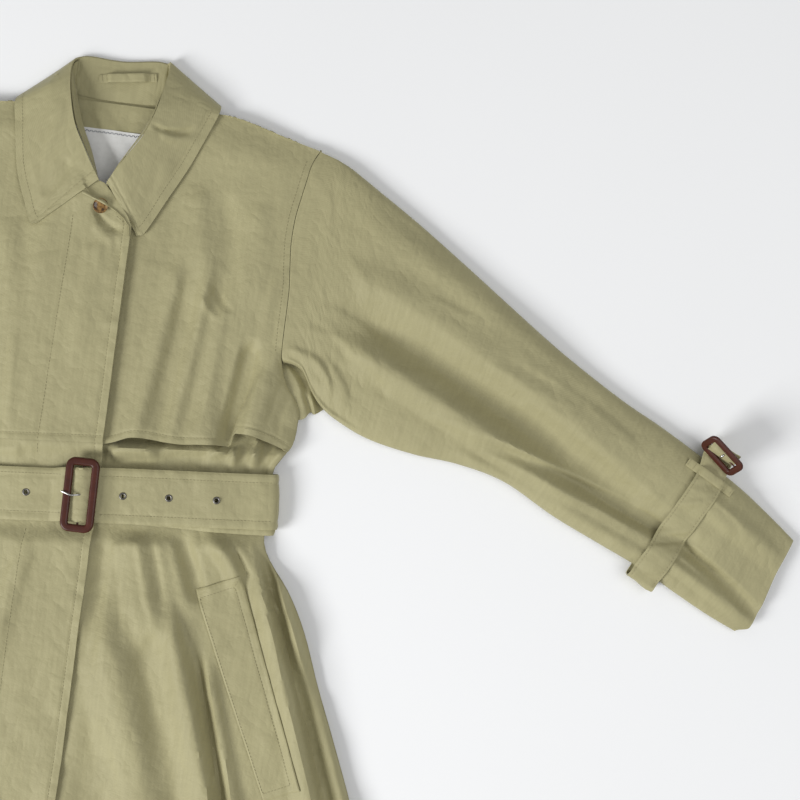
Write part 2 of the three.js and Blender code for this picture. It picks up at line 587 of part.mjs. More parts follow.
function frontGrid(side) {
  const sign = side === 'left' ? 1 : -1;
  const rows = BODY_ROWS.map((rowY) => {
    const slope = rowSlope(rowY);
    const outerX = sign * (sideLine(rowY) - EDGE_INSET);
    const innerX = side === 'left' ? -UNDERLAP_X : UNDERLAP_X;
    const flapX = side === 'left' ? 22 : 24;
    return frontRow(innerX, rowY + slope * innerX, flapX, outerX, rowY + slope * outerX);
  });
  const upper = side === 'left' ? UPPER_ROWS_LEFT : UPPER_ROWS_RIGHT;
  upper.forEach((r, j) => {
    const bend = smooth(0, upper.length - 1, j);
    const liftY = (x, y) => mix(y, Math.min(r.ny, shoulderEdge(x)), bend);
    const outerX = sign * (sideLine(liftY(sign * SHOULDER_X, r.ay)) - EDGE_INSET);
    rows.push(frontRow(r.nx, r.ny, r.fx, outerX, r.ay).map(([x, y]) => [x, liftY(x, y)]));
  });
  return rows;
}

// A storm flap takes the front's own points from its hem to the shoulder, moved out
function flapGrid(side) {
  const hemRow = BODY_ROWS.indexOf(FLAP_HEM_Y);
  const skip = side === 'left' ? UNDERLAP_COLUMNS : 0;
  return frontGrid(side).slice(hemRow).map((row) => row.slice(skip));
}

// The side part of the left flap is folded forward, a step up along its fold line
function flapFoldStep(x, y) {
  const foldX = mix(153, 178, (y - 79) / 68);
  return 3.5 * smooth(-3, 5, x - foldX) * smooth(160, 120, y);
}

function flapTop(side, x, y) {
  const panel = side === 'left' ? frontTop('left', x, y) : frontRightTop(x, y);
  const step = side === 'left' ? flapFoldStep(x, y) : 0;
  return panel + LIE_GAP + WALL + step;
}

// Height of the cloth on the chest, carried on into the head of the sleeve
function sleeveHeadTop(side, x, y) {
  const sign = side === 'left' ? 1 : -1;
  const seamX = sign * 189;
  return flapTop(side, Math.abs(x) < 189 ? x : seamX, y);
}

function sleeveBowAt(t) {
  return readTable(SLEEVE_SECTIONS.map((s, i) => ({ i, v: s.bow })), 'i', 'v', t);
}

const SLEEVE_KEYS = SLEEVE_SECTIONS.map((s, i) => ({ ...s, i }));

function sleeveCorner(t) {
  const read = (column) => readTable(SLEEVE_KEYS, 'i', column, t);
  return { ux: read('ux'), uy: read('uy'), lx: read('lx'), ly: read('ly') };
}

// How far the cuff strap, which runs under the sleeve, holds the sleeve off the surface
function strapLift(x, y) {
  const dx = STRAP_TOP.x - STRAP_LOW.x;
  const dy = STRAP_TOP.y - STRAP_LOW.y;
  const side = ((Math.abs(x) - STRAP_LOW.x) * dy - (y - STRAP_LOW.y) * dx) / Math.hypot(dx, dy);
  return (STRAP_THICK + SEAM_GAP) * smooth(STRAP_BAND + 12, STRAP_BAND, Math.abs(side));
}

const TOP_SPANS = 13;
const UNDER_SPANS = 6;

function sleeve(side) {
  const sign = side === 'left' ? 1 : -1;
  const folds = side === 'left' ? SLEEVE_FOLDS_LEFT : SLEEVE_FOLDS_RIGHT;
  const outer = [];
  const inner = [];
  for (let j = 0; j <= SLEEVE_STEPS; j += 1) {
    const t = (j / SLEEVE_STEPS) * (SLEEVE_SECTIONS.length - 1);
    const { ux, uy, lx, ly } = sleeveCorner(t);
    const length = Math.hypot(ux - lx, uy - ly);
    const bow = sleeveBowAt(t);
    const place = (s, z) => {
      const along = bow * 4 * s * (1 - s);
      const x = mix(lx, ux, s) + along * ((uy - ly) / length);
      const y = mix(ly, uy, s) - along * ((ux - lx) / length);
      return [sign * mix(x, sideLine(y), smooth(1.4, 0, t)), y, z];
    };
    const headBlend = smooth(2.2, 0, t);
    const topAt = (s) => {
      const [x, y] = place(s, 0);
      const lift = strapLift(x, y);
      const inFromEdge = Math.min(1, (Math.min(s, 1 - s) * length) / SLEEVE_ROUNDING);
      const round = Math.sqrt(Math.max(0, 1 - (1 - inFromEdge) ** 2));
      const shape = (SLEEVE_PUFF + foldHeight(folds, x, y)) * round;
      const sleeveZ = SLEEVE_EDGE_HEIGHT + Math.max(0, shape);
      const headZ = Math.max(SLEEVE_EDGE_HEIGHT, sleeveHeadTop(side, x, y));
      return lift + mix(sleeveZ, headZ, headBlend * smooth(0, 26, s * length));
    };
    const inset = WALL / length;
    const outerRow = [];
    const innerRow = [];
    for (let i = 0; i <= TOP_SPANS; i += 1) {
      const angle = (Math.PI * i) / TOP_SPANS;
      const s = 0.5 - 0.5 * Math.cos(angle) * mix(1, 0.9, Math.sin(angle));
      const si = mix(inset, 1 - inset, s);
      outerRow.push(place(s, topAt(s)));
      innerRow.push(place(si, topAt(s) - WALL));
    }
    for (let i = 0; i <= UNDER_SPANS; i += 1) {
      const s = 1 - i / UNDER_SPANS;
      const si = mix(inset, 1 - inset, s);
      const [x, y] = place(s, 0);
      outerRow.push(place(s, strapLift(x, y)));
      innerRow.push(place(si, strapLift(x, y) + WALL));
    }
    outer.push(outerRow);
    inner.push(innerRow);
  }
  return bodyFromGrids(outer, inner, true);
}

function isUnderBack(section) {
  return section.z[1] < 1;
}

function collarFall() {
  return shell(COLLAR_SECTIONS.map((c) => {
    const fractions = isUnderBack(c) ? [0, 0.02, 0.5, 1] : [0, 0.34, 0.68, 1];
    return fractions.map((f, i) => {
      const x = mix(c.rx, c.ex, f);
      const y = mix(c.ry, c.ey, f);
      const overCoat = c.z[1] > 10 && i > 0;
      const rest = overCoat ? highest(x, y, 10) + WALL / 2 + LIE_GAP + SEAM_GAP : 0;
      return [x, y, Math.max(c.z[i], rest)];
    });
  }));
}

function collarStand() {
  const belowRoll = WALL / 2 + SEAM_GAP + 0.4;
  return shell(COLLAR_SECTIONS.map((c, i) => {
    const foot = STAND_FEET[i];
    const lying = isUnderBack(c);
    const turning = c.z[0] < 10 && !lying;
    const inFromRoll = turning ? 3 : 1.4;
    const span = Math.hypot(c.rx - foot.x, c.ry - foot.y);
    const share = 1 - inFromRoll / span;
    const top = [mix(foot.x, c.rx, share), mix(foot.y, c.ry, share), lying ? 4.2 : c.z[0] - belowRoll];
    return [0, 0.5, 1].map((f) => [mix(foot.x, top[0], f), mix(foot.y, top[1], f), mix(foot.z, top[2], f)]);
  }), 1.6);
}

// Rectangular grid between four corners
function patchGrid(corner, alongX, alongY, acrossX, acrossY, rows, cols) {
  const grid = [];
  for (let j = 0; j <= rows; j += 1) {
    const row = [];
    for (let i = 0; i <= cols; i += 1) {
      const f = i / cols;
      const g = j / rows;
      row.push([corner[0] + alongX * g + acrossX * f, corner[1] + alongY * g + acrossY * f]);
    }
    grid.push(row);
  }
  return grid;
}

// Patch of cloth that lies on whatever is under it
function lyingPatch(grid, reach, wall) {
  return sheet(grid, (x, y) => highest(x, y, reach) + SEAM_GAP + wall, wall);
}

// Buckle with its face up, its short side along X and its pin below the frame
function roundedOutline(width, height, radius) {
  const w = width / 2 - radius;
  const h = height / 2 - radius;
  const outline = new THREE.Shape();
  outline.absarc(w, h, radius, 0, Math.PI / 2);
  outline.absarc(-w, h, radius, Math.PI / 2, Math.PI);
  outline.absarc(-w, -h, radius, Math.PI, Math.PI * 1.5);
  outline.absarc(w, -h, radius, Math.PI * 1.5, Math.PI * 2);
  outline.closePath();
  return outline;
}

function buckleFrame(size) {
  const outline = roundedOutline(size.width, size.height, size.corner);
  const windowCorner = size.corner - size.bar + 0.8;
  const window = roundedOutline(size.width - 2 * size.bar, size.height - 2 * size.bar, windowCorner);
  outline.holes.push(new THREE.Path(window.getPoints(4)));
  const settings = { depth: size.thick, bevelEnabled: false, curveSegments: 4 };
  const frame = new THREE.ExtrudeGeometry(outline, settings);
  frame.translate(0, 0, -size.thick / 2);
  const reach = size.height / 2 - size.bar * 0.45;
  const pin = new THREE.CylinderGeometry(size.pin, size.pin, 2 * reach, 10);
  pin.translate(0, 0, -size.pinDrop);
  let solid = toSolid(frame).add(toSolid(pin));
  for (const end of [-1, 1]) {
    const post = box(-size.pin, size.pin, reach - 2.4, reach, -size.pinDrop, 0);
    if (end < 0) post.rotateZ(Math.PI);
    solid = solid.add(toSolid(post));
  }
  return fromSolid(solid);
}

// Way of the strap through its buckle, in the buckle's own X and Z
function buckleLevels(size) {
  const under = -(size.thick / 2 + SEAM_GAP + size.strap / 2);
  const loopRadius = size.pin + SEAM_GAP + size.strap / 2;
  const over = -size.pinDrop + loopRadius + size.strap + SEAM_GAP;
  return { under, over, loopRadius, windowHalf: size.width / 2 - size.bar };
}

function tailThroughBuckle(size) {
  const { under, over, windowHalf } = buckleLevels(size);
  return [[-size.width / 2 - 1, under], [-windowHalf + 0.9, under], [-size.pin - 1.2, over],
    [size.pin + 1.2, over], [windowHalf - 0.9, under], [size.width / 2 + 1, under]];
}

function loopRoundPin(size) {
  const { loopRadius } = buckleLevels(size);
  const steps = 10;
  return Array.from({ length: steps + 1 }, (_, i) => {
    const angle = mix(50, 268, i / steps) * (Math.PI / 180);
    return [loopRadius * Math.cos(angle), -size.pinDrop + loopRadius * Math.sin(angle)];
  });
}

// Slot in the strap's loop and hole in its tail, where the prong passes
function prongCuts(size) {
  const { over, loopRadius } = buckleLevels(size);
  const reach = loopRadius + size.strap / 2 + 0.2;
  const half = 2.4;
  return [
    box(-reach, 2, -half, half, -size.pinDrop - reach, -size.pinDrop + reach - 0.1),
    box(1.9, size.pin + 2, -half, half, -size.pinDrop - reach, -size.pinDrop + 1.8),
    box(-reach - 3.4, 0.4 - size.pin, -half, half, -size.pinDrop - 0.4, over + size.strap),
  ];
}

function prong(size) {
  const ring = new THREE.Shape();
  ring.absarc(0, 0, size.pin + 1.5, 0, Math.PI * 2);
  const hole = new THREE.Path();
  hole.absarc(0, 0, size.pin + 0.3, 0, Math.PI * 2);
  ring.holes.push(hole);
  const half = 1.4;
  const hub = new THREE.ExtrudeGeometry(ring, { depth: 2 * half, bevelEnabled: false, curveSegments: 8 });
  hub.rotateX(Math.PI / 2);
  hub.translate(0, half, -size.pinDrop);
  const overBar = size.thick / 2 + SEAM_GAP + 0.8;
  const windowHalf = size.width / 2 - size.bar;
  const path = [[-size.pin * 0.6, -size.pinDrop + size.pin + 1], [-windowHalf + 1, overBar],
    [-size.width / 2 + size.bar / 2, overBar + 0.2], [-size.width / 2 - 0.6, overBar - 0.4]];
  return fromSolid(toSolid(hub).add(toSolid(strip(path, 2 * half, 1.5))));
}

// Belt group: X runs along the belt, tilted with it
function beltGroup() {
  const group = new THREE.Group();
  group.position.set(0, BELT_RISE_Y, 0);
  group.rotation.z = Math.atan(BELT_SLOPE);
  coat.add(group);
  coat.updateMatrixWorld(true);
  return group;
}

function restUnderBelt(group, s, halfWidth = BELT_WIDTH / 2) {
  let top = 0;
  for (let w = -halfWidth; w <= halfWidth; w += halfWidth / 5) {
    const point = group.localToWorld(new THREE.Vector3(s, w, 0));
    top = Math.max(top, highest(point.x, point.y, 5));
  }
  return top + SEAM_GAP + BELT_THICK / 2;
}

function range(from, to, step) {
  const count = Math.max(1, Math.round(Math.abs(to - from) / step));
  return Array.from({ length: count + 1 }, (_, i) => mix(from, to, i / count));
}

function beltAndBuckle() {
  const group = beltGroup();
  const size = BELT_BUCKLE;
  const { under } = buckleLevels(size);
  const layer = BELT_THICK + SEAM_GAP;
  const half = BELT_THICK / 2;
  const out = size.width / 2 + 1;
  const buckleRest = Math.max(...range(-6, 48, 6).map((s) => restUnderBelt(group, s, size.height / 2)));
  const { loopRadius } = buckleLevels(size);
  const buckleZ = buckleRest + loopRadius + size.pinDrop;
  const shift = ([x, z]) => [BUCKLE_S + x, buckleZ + z];
  const underEnd = BELT_SIDE_S - 7;
  const underLayer = range(BUCKLE_S + out + 2, underEnd, BELT_STEP).map((s) => [s, restUnderBelt(group, s)]);
  const lastUnder = underLayer[underLayer.length - 1][1];
  const frontLeft = range(-underEnd, BUCKLE_S - out - 8, BELT_STEP).map((s) => [s, restUnderBelt(group, s)]);
  const firstFront = frontLeft[0][1];
  const path = [
    ...loopRoundPin(size).map(shift),
    [BUCKLE_S + 6, buckleZ + under - layer],
    [BUCKLE_S + out - 4, buckleZ + under - layer],
    ...underLayer,
    [BELT_SIDE_S - 1.4, lastUnder - 0.8], [BELT_SIDE_S, lastUnder - 2.6],
    [BELT_SIDE_S, layer + half + 2], [BELT_SIDE_S - 1.4, layer + half + 0.3], [BELT_SIDE_S - 4, layer + half],
    [174, layer + half], [150, half],
    ...range(120, -underEnd, 45).map((s) => [s, half]),
    [-BELT_SIDE_S + 1.4, half + 0.8], [-BELT_SIDE_S, half + 2.4],
    [-BELT_SIDE_S, firstFront - 2.4], [-BELT_SIDE_S + 1.4, firstFront - 0.8],
    ...frontLeft,
    ...tailThroughBuckle(size).map(shift),
    ...underLayer.slice(1).map(([s, z]) => [s, z + layer]),
    [BELT_SIDE_S + 0.6, lastUnder + layer - 0.8], [BELT_SIDE_S + layer, lastUnder + layer - 3],
    [BELT_SIDE_S + layer, half + 2.6], [BELT_SIDE_S + 0.8, half + 0.4], [BELT_SIDE_S - 3, half],
    [TAIL_END_S, half],
  ];
  let belt = toSolid(strip(path, BELT_WIDTH, BELT_THICK));
  for (const cut of prongCuts(size)) {
    cut.translate(BUCKLE_S, 0, buckleZ);
    belt = belt.subtract(toSolid(cut));
  }
  addPiece('belt', 'gabardine', fromSolid(belt), group);
  const buckle = new THREE.Group();
  buckle.position.set(BUCKLE_S, 0, buckleZ);
  group.add(buckle);
  addPiece('belt_buckle', 'buckle_leather', buckleFrame(size), buckle);
  addPiece('belt_prong', 'silver_metal', prong(size), buckle);
  EYELET_PLACES.forEach((s, i) => {
    const nearest = [...frontLeft, ...underLayer.slice(1).map(([x, z]) => [x, z + layer])];
    nearest.sort((a, b) => Math.abs(a[0] - s) - Math.abs(b[0] - s));
    const top = Math.max(nearest[0][1], nearest[1][1]) + half + SEAM_GAP;
    const ring = turned(EYELET_PROFILE, 14).translate(s, 0, top);
    addPiece(`belt_eyelet_${i + 1}`, 'silver_metal', ring, group);
  });
}

// Cuff strap group: X runs across the sleeve from its lower to its upper edge, along the strap
function cuffStrap(side) {
  const sign = side === 'left' ? 1 : -1;
  const group = new THREE.Group();
  const dx = STRAP_TOP.x - STRAP_LOW.x;
  const dy = STRAP_TOP.y - STRAP_LOW.y;
  const across = Math.hypot(dx, dy);
  group.position.set(sign * STRAP_LOW.x, STRAP_LOW.y, 0);
  group.rotation.z = Math.atan2(dy, sign * dx);
  coat.add(group);
  coat.updateMatrixWorld(true);
  const rest = (s) => {
    let top = 0;
    for (let w = -STRAP_WIDTH / 2; w <= STRAP_WIDTH / 2; w += STRAP_WIDTH / 6) {
      const point = group.localToWorld(new THREE.Vector3(s, w, 0));
      top = Math.max(top, highest(point.x, point.y, 6));
    }
    return top + SEAM_GAP + STRAP_THICK / 2;
  };
  const size = CUFF_BUCKLE;
  const half = STRAP_THICK / 2;
  const tilt = CUFF_BUCKLE_TILT * (Math.PI / 180);
  const carrierTop = rest(across - 16) + STRAP_THICK;
  const centre = [across + 13, carrierTop + 9];
  const turn = ([x, z]) => [
    centre[0] + x * Math.cos(tilt) - z * Math.sin(tilt), centre[1] + x * Math.sin(tilt) + z * Math.cos(tilt),
  ];
  const top = range(6, across - 8, 9).map((s) => [s, rest(s)]);
  const path = [
    ...loopRoundPin(size).map(turn),
    [across + 17, 8], [across + 15.5, 3], [across + 11, half + 0.2], [across + 6, half],
    ...range(across - 8, 4, 22).map((s) => [s, half]),
    [-6, half], [-8.5, half + 2], [-8.5, 6], [-6, 9],
    ...top,
    ...tailThroughBuckle(size).slice(0, 5).map(turn),
    turn([size.width / 2 + 3, buckleLevels(size).under]),
  ];
  let strap = toSolid(strip(path, STRAP_WIDTH, STRAP_THICK));
  const buckle = new THREE.Group();
  buckle.position.set(centre[0], 0, centre[1]);
  buckle.rotation.y = -tilt;
  group.add(buckle);
  buckle.updateMatrix();
  for (const cut of prongCuts(size)) strap = strap.subtract(toSolid(cut.applyMatrix4(buckle.matrix)));
  addPiece(`cuff_strap_${side}`, 'gabardine', fromSolid(strap), group);
  addPiece(`cuff_buckle_${side}`, 'buckle_leather', buckleFrame(size), buckle);
  addPiece(`cuff_prong_${side}`, 'silver_metal', prong(size), buckle);
}

function cuffCarrier(side) {
  const sign = side === 'left' ? 1 : -1;
  const length = Math.hypot(CARRIER.x1 - CARRIER.x0, CARRIER.y1 - CARRIER.y0);
  const ax = (CARRIER.x1 - CARRIER.x0) * sign;
  const ay = CARRIER.y1 - CARRIER.y0;
  const wx = (-ay / length) * CARRIER.width * sign;
  const wy = (ax / length) * CARRIER.width * sign;
  const grid = patchGrid([sign * CARRIER.x0 - wx / 2, CARRIER.y0 - wy / 2], ax, ay, wx, wy, 10, 1);
  addPiece(`cuff_carrier_${side}`, 'gabardine', lyingPatch(grid, 6, THIN_WALL));
}

function pocketWelt(side) {
  const sign = side === 'left' ? 1 : -1;
  const grid = patchGrid(
    [sign * WELT.topInX, WELT.topInY], sign * WELT.runX, WELT.runY,
    sign * (WELT.topOutX - WELT.topInX), WELT.topOutY - WELT.topInY, 12, 4,
  );
  addPiece(`pocket_welt_${side}`, 'gabardine', lyingPatch(grid, 10, WELT.thick));
}

function neckPatch(name, slot, patch) {
  const grid = patchGrid([patch.x, patch.y], 0, patch.height, patch.width, 0, 6, 3);
  addPiece(name, slot, lyingPatch(grid, 8, patch.thick));
}

function hangerLoop() {
  const path = range(0, HANGER.length, HANGER.length / HANGER.steps).map((x) => {
    const f = x / HANGER.length;
    return [x, HANGER.rise * Math.min(1, smooth(0.12, 0.3, f), smooth(0.88, 0.7, f))];
  });
  const loop = strip(path, HANGER.width, HANGER.thick);
  const rest = Math.max(...[0.15, 0.5, 0.85].map((f) => (
    highest(HANGER.x + f * HANGER.length, HANGER.y + f * HANGER.climb, HANGER.width / 2)
  )));
  loop.rotateZ(Math.atan2(HANGER.climb, HANGER.length));
  loop.translate(HANGER.x, HANGER.y, rest + SEAM_GAP + HANGER.thick / 2);
  addPiece('hanger_loop', 'gabardine', loop);
}

// Solid turned about the vertical, from the rings of its profile: radius and height
function turned(profile, segments) {
  const solid = new THREE.LatheGeometry(profile.map(([r, z]) => new THREE.Vector2(r, z)), segments);
  return solid.rotateX(Math.PI / 2);
}

function neckButton() {
  const { x, y } = BUTTON_PLACE;
  const button = turned(BUTTON_PROFILE, 18).translate(x, y, highest(x, y, 6) + SEAM_GAP);
  addPiece('neck_button', 'tortoise_button', button);
}

// The pieces, from the surface up
addPiece('back_panel', 'gabardine', sheet(backGrid(), backTop));
neckPatch('back_neck_facing', 'gabardine', NECK_FACING);
neckPatch('neck_label', 'label_cloth', NECK_LABEL);
addPiece('front_left_panel', 'gabardine', sheet(frontGrid('left'), (x, y) => frontTop('left', x, y)));
addPiece('storm_flap_left', 'gabardine', sheet(flapGrid('left'), (x, y) => flapTop('left', x, y)));
addPiece('front_right_panel', 'gabardine', sheet(frontGrid('right'), frontRightTop));
addPiece('storm_flap_right', 'gabardine', sheet(flapGrid('right'), (x, y) => flapTop('right', x, y)));
neckButton();
addPiece('fly_facing', 'gabardine', lyingPatch(FLY_FACING, 8, THIN_WALL));
addPiece('collar_fall', 'gabardine', collarFall());
addPiece('collar_stand', 'gabardine', collarStand());
hangerLoop();
for (const side of ['left', 'right']) {
  addPiece(`sleeve_${side}`, 'gabardine', sleeve(side));
  pocketWelt(side);
  cuffStrap(side);
  cuffCarrier(side);
}
beltAndBuckle();

export default coat;
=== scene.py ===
# %% [markdown]
# # A trench coat laid flat
# The coat lies face up on a pale surface and is seen from straight above. Its cloth is a cotton
# gabardine, a close twill that is crisp enough to hold soft pillows and a few sharp creases.
# A cloth simulation would let the laid folds slide away from where they are in the photograph, so
# every panel is a fine sheet whose height is worked out from named folds, with real walls and seams.

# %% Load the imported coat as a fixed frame
import math

import bpy
import numpy as np
from mathutils import Matrix, Vector
from mathutils.bvhtree import BVHTree


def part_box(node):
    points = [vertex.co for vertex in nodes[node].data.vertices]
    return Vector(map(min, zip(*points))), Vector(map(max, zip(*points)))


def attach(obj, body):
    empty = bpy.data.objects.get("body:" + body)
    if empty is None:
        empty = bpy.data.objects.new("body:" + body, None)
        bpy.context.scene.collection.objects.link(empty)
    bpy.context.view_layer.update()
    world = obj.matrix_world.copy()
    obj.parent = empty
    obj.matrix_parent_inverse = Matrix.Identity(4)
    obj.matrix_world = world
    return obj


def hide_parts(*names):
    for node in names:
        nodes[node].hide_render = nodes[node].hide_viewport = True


MM = 0.001
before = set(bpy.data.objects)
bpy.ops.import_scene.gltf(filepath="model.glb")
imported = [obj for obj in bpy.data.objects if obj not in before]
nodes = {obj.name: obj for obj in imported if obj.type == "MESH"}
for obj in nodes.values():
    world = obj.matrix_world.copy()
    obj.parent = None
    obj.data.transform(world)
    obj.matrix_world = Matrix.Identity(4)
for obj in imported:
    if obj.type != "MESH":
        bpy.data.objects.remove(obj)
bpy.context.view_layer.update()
bpy.ops.object.select_all(action="DESELECT")

# %% [markdown]
# ## Camera
# The photograph was taken from straight above, with the coat's hem turned a little to the lower
# left. A camera that looks down and is rolled by the same angle gives that frame without a shift.

# %% Camera, in millimetres and degrees
CAMERA_PLACE = (307.4, 130.5, 1408.0)
CAMERA_ROLL = 7.5
VIEW_ACROSS = 760.0
VIEW_DISTANCE = 1400.0

camera_data = bpy.data.cameras.new("photo_camera")
camera_data.sensor_width = 36.0
camera_data.lens = camera_data.sensor_width * VIEW_DISTANCE / VIEW_ACROSS
camera = bpy.data.objects.new("photo_camera", camera_data)
bpy.context.scene.collection.objects.link(camera)
camera.location = Vector(CAMERA_PLACE) * MM
camera.rotation_euler = (0.0, 0.0, math.radians(CAMERA_ROLL))
bpy.context.scene.camera = camera
print("camera lens", round(camera_data.lens, 1))

# %% [markdown]
# ## Soft light
# The light in the photograph is soft and comes from the lower left, so folds are brighter on that
# side and their shadows fall to the upper right. A large panel stands for a window and a wider,
# weaker one for a pale ceiling. An even sky fills the rest.

# %% Light, with places in metres
WINDOW = dict(place=(-2.1, -1.7, 1.9), target=(0.3, 0.0, 0.0), size=1.4, watts=104.0)
CEILING = dict(place=(1.5, 0.2, 2.2), target=(0.5, 0.1, 0.0), size=2.2, watts=24.0)
SKY_COLOUR = (1.0, 1.0, 1.0, 1.0)
SKY_STRENGTH = 0.30


def soft_panel(name, place, target, size, watts):
    data = bpy.data.lights.new(name, "AREA")
    data.size = size
    data.energy = watts
    lamp = bpy.data.objects.new(name, data)
    bpy.context.scene.collection.objects.link(lamp)
    lamp.location = place
    lamp.rotation_euler = (Vector(target) - Vector(place)).to_track_quat("-Z", "Y").to_euler()


soft_panel("window_light", **WINDOW)
soft_panel("ceiling_light", **CEILING)

world = bpy.data.worlds.new("studio")
bpy.context.scene.world = world
world.use_nodes = True
sky = world.node_tree.nodes["Background"]
sky.inputs["Color"].default_value = SKY_COLOUR
sky.inputs["Strength"].default_value = SKY_STRENGTH
bpy.context.scene.view_settings.view_transform = "Standard"
bpy.context.scene.view_settings.look = "None"
print("lights", WINDOW["watts"], "and", CEILING["watts"], "watts")

# %% [markdown]
# ## One helper for shader nodes
# Every material is a small tree. A single function adds a node, gives it its settings and joins
# it to what feeds it, which keeps each material readable from its pattern down to its finish.

# %% Node helper and colours
def linear(hex_colour):
    """sRGB hex to the linear colour that the shader expects."""
    channels = [int(hex_colour[i:i + 2], 16) / 255 for i in (1, 3, 5)]
    return (*[c / 12.92 if c <= 0.04045 else ((c + 0.055) / 1.055) ** 2.4 for c in channels], 1.0)


def add_node(tree, kind, settings, links=()):
    """Adds a node. A setting or link is named for an input socket, or is one of the node's options."""
    node = tree.nodes.new(kind)
    for key, value in settings.items():
        if isinstance(key, int) or key in node.inputs:
            node.inputs[key].default_value = value
        else:
            setattr(node, key, value)
    for key, source in dict(links).items():
        tree.links.new(source, node.inputs[key])
    return node


def new_material(name, surface, colour, height=None, bump=(0.3, 0.0002)):
    """A Principled surface. colour(tree) gives its colour socket, height(tree) its bump height."""
    material = bpy.data.materials.new(name)
    material.use_nodes = True
    tree = material.node_tree
    shader = tree.nodes["Principled BSDF"]
    for key, value in surface.items():
        shader.inputs[key].default_value = value
    tree.links.new(colour(tree), shader.inputs["Base Color"])
    if height:
        strength, distance = bump
        relief = add_node(tree, "ShaderNodeBump", {"Strength": strength, "Distance": distance},
                          {"Height": height(tree)})
        tree.links.new(relief.outputs["Normal"], shader.inputs["Normal"])
    return material


def blend_colours(tree, factor, low, high):
    """Mixes two sRGB hex colours. The numbered sockets are the colour ones of the mix node."""
    ramp = add_node(tree, "ShaderNodeMix", {"data_type": "RGBA"}, {0: factor})
    ramp.inputs[6].default_value = linear(low)
    ramp.inputs[7].default_value = linear(high)
    return ramp.outputs[2]


def mottled(low, high, size_mm):
    """A colour function for new_material: two close shades in soft spots over the whole piece."""
    return lambda tree: blend_colours(tree, noise(tree, None, size_mm, source="Object"), low, high)


def noise(tree, coordinate, size_mm, detail=2.0, source="UV"):
    """Soft noise with lumps of a size in millimetres, over the given coordinate or the named one."""
    where = add_node(tree, "ShaderNodeTexCoord", {}).outputs[source] if coordinate is None else coordinate
    return add_node(tree, "ShaderNodeTexNoise", {"Scale": 1 / (size_mm * MM), "Detail": detail},
                    {"Vector": where}).outputs["Fac"]


# %% [markdown]
# ## Cotton gabardine
# Gabardine is a warp-faced twill: a steep, close diagonal with a dry, faintly silky face. The
# pattern follows the cloth through each piece's own UV map, laid out in metres. The real twill
# line is half a millimetre apart, too fine for this picture, so it is drawn at 1.5 mm.

# %% Gabardine material
TWILL_MM = 1.5
TWILL_DEGREES = 63
CLOTH_LIGHT = "#afa980"
CLOTH_DARK = "#948e6a"


def twill(tree):
    """Diagonal bands. The wave texture draws 10 / pi bands for each unit of its scale."""
    where = add_node(tree, "ShaderNodeTexCoord", {}).outputs["UV"]
    turned = add_node(tree, "ShaderNodeMapping", {"Rotation": (0.0, 0.0, math.radians(TWILL_DEGREES))},
                      {"Vector": where})
    bands_per_metre = 1 / (TWILL_MM * MM)
    return add_node(tree, "ShaderNodeTexWave",
                    {"Scale": bands_per_metre * math.pi / 10, "Distortion": 1.2, "Detail": 2.0,
                     "Detail Scale": 1.5}, {"Vector": turned.outputs["Vector"]}).outputs["Fac"]


def weighted(tree, parts):
    """Sum of sockets times their weights."""
    total = None
    for socket, weight in parts:
        scaled = add_node(tree, "ShaderNodeMath", {"operation": "MULTIPLY_ADD", 1: weight, 2: 0.0},
                          {0: socket})
        if total is not None:
            tree.links.new(total, scaled.inputs[2])
        total = scaled.outputs[0]
    return total


def warp_streaks(tree):
    """Slightly uneven warp yarns, drawn out along the cloth's length."""
    where = add_node(tree, "ShaderNodeTexCoord", {}).outputs["UV"]
    drawn = add_node(tree, "ShaderNodeMapping", {"Scale": (1.0, 0.08, 1.0)}, {"Vector": where})
    return noise(tree, drawn.outputs["Vector"], 3.2, 3.0)


def handling_creases(tree, size_mm):
    """Shallow crinkles that worn cotton keeps: ridges where a soft noise crosses its middle."""
    centred = add_node(tree, "ShaderNodeMath", {"operation": "SUBTRACT", 1: 0.5},
                       {0: noise(tree, None, size_mm, 2.0)})
    return add_node(tree, "ShaderNodeMath", {"operation": "ABSOLUTE"}, {0: centred.outputs[0]}).outputs[0]


def gabardine_colour(tree):
    mottle = weighted(tree, [(noise(tree, None, 1.3, 3.0), 0.3), (noise(tree, None, 90.0, 3.0), 0.7),
                             (warp_streaks(tree), 0.55)])
    centred = add_node(tree, "ShaderNodeMath", {"operation": "SUBTRACT", 1: 0.3}, {0: mottle})
    return blend_colours(tree, centred.outputs[0], CLOTH_DARK, CLOTH_LIGHT)


def gabardine_height(tree):
    """Height in millimetres."""
    return weighted(tree, [(twill(tree), 0.06), (noise(tree, None, 0.9, 2.0), 0.04),
                           (handling_creases(tree, 30.0), 4.2), (handling_creases(tree, 11.0), 1.3),
                           (warp_streaks(tree), 0.12)])


gabardine = new_material(
    "cotton_gabardine",
    {"Roughness": 0.66, "Sheen Weight": 0.12, "Sheen Roughness": 0.4, "Specular IOR Level": 0.42},
    gabardine_colour, gabardine_height, (0.75, MM))
thread_material = new_material("polyester_thread", {"Roughness": 0.55, "Sheen Weight": 0.1},
                               mottled("#948d6c", "#aaa47e", 0.8))
print("cloth materials ready")

# %% [markdown]
# ## Shapes from named folds
# Each panel is a grid of points. A fold is a crest or trough from one point to another, with a
# width at each end, a sideways bow and a lean that makes one flank steeper, as in real cloth.

# %% Small number helpers
FOLD_RISE = 0.16
FOLD_FALL = 0.72
LATTICE = 97
LATTICE_SHIFT = 300.0
GROOVE_DEPTH = 0.55
GROOVE_HALF_WIDTH = 1.1


def mix(a, b, t):
    return a + (b - a) * t


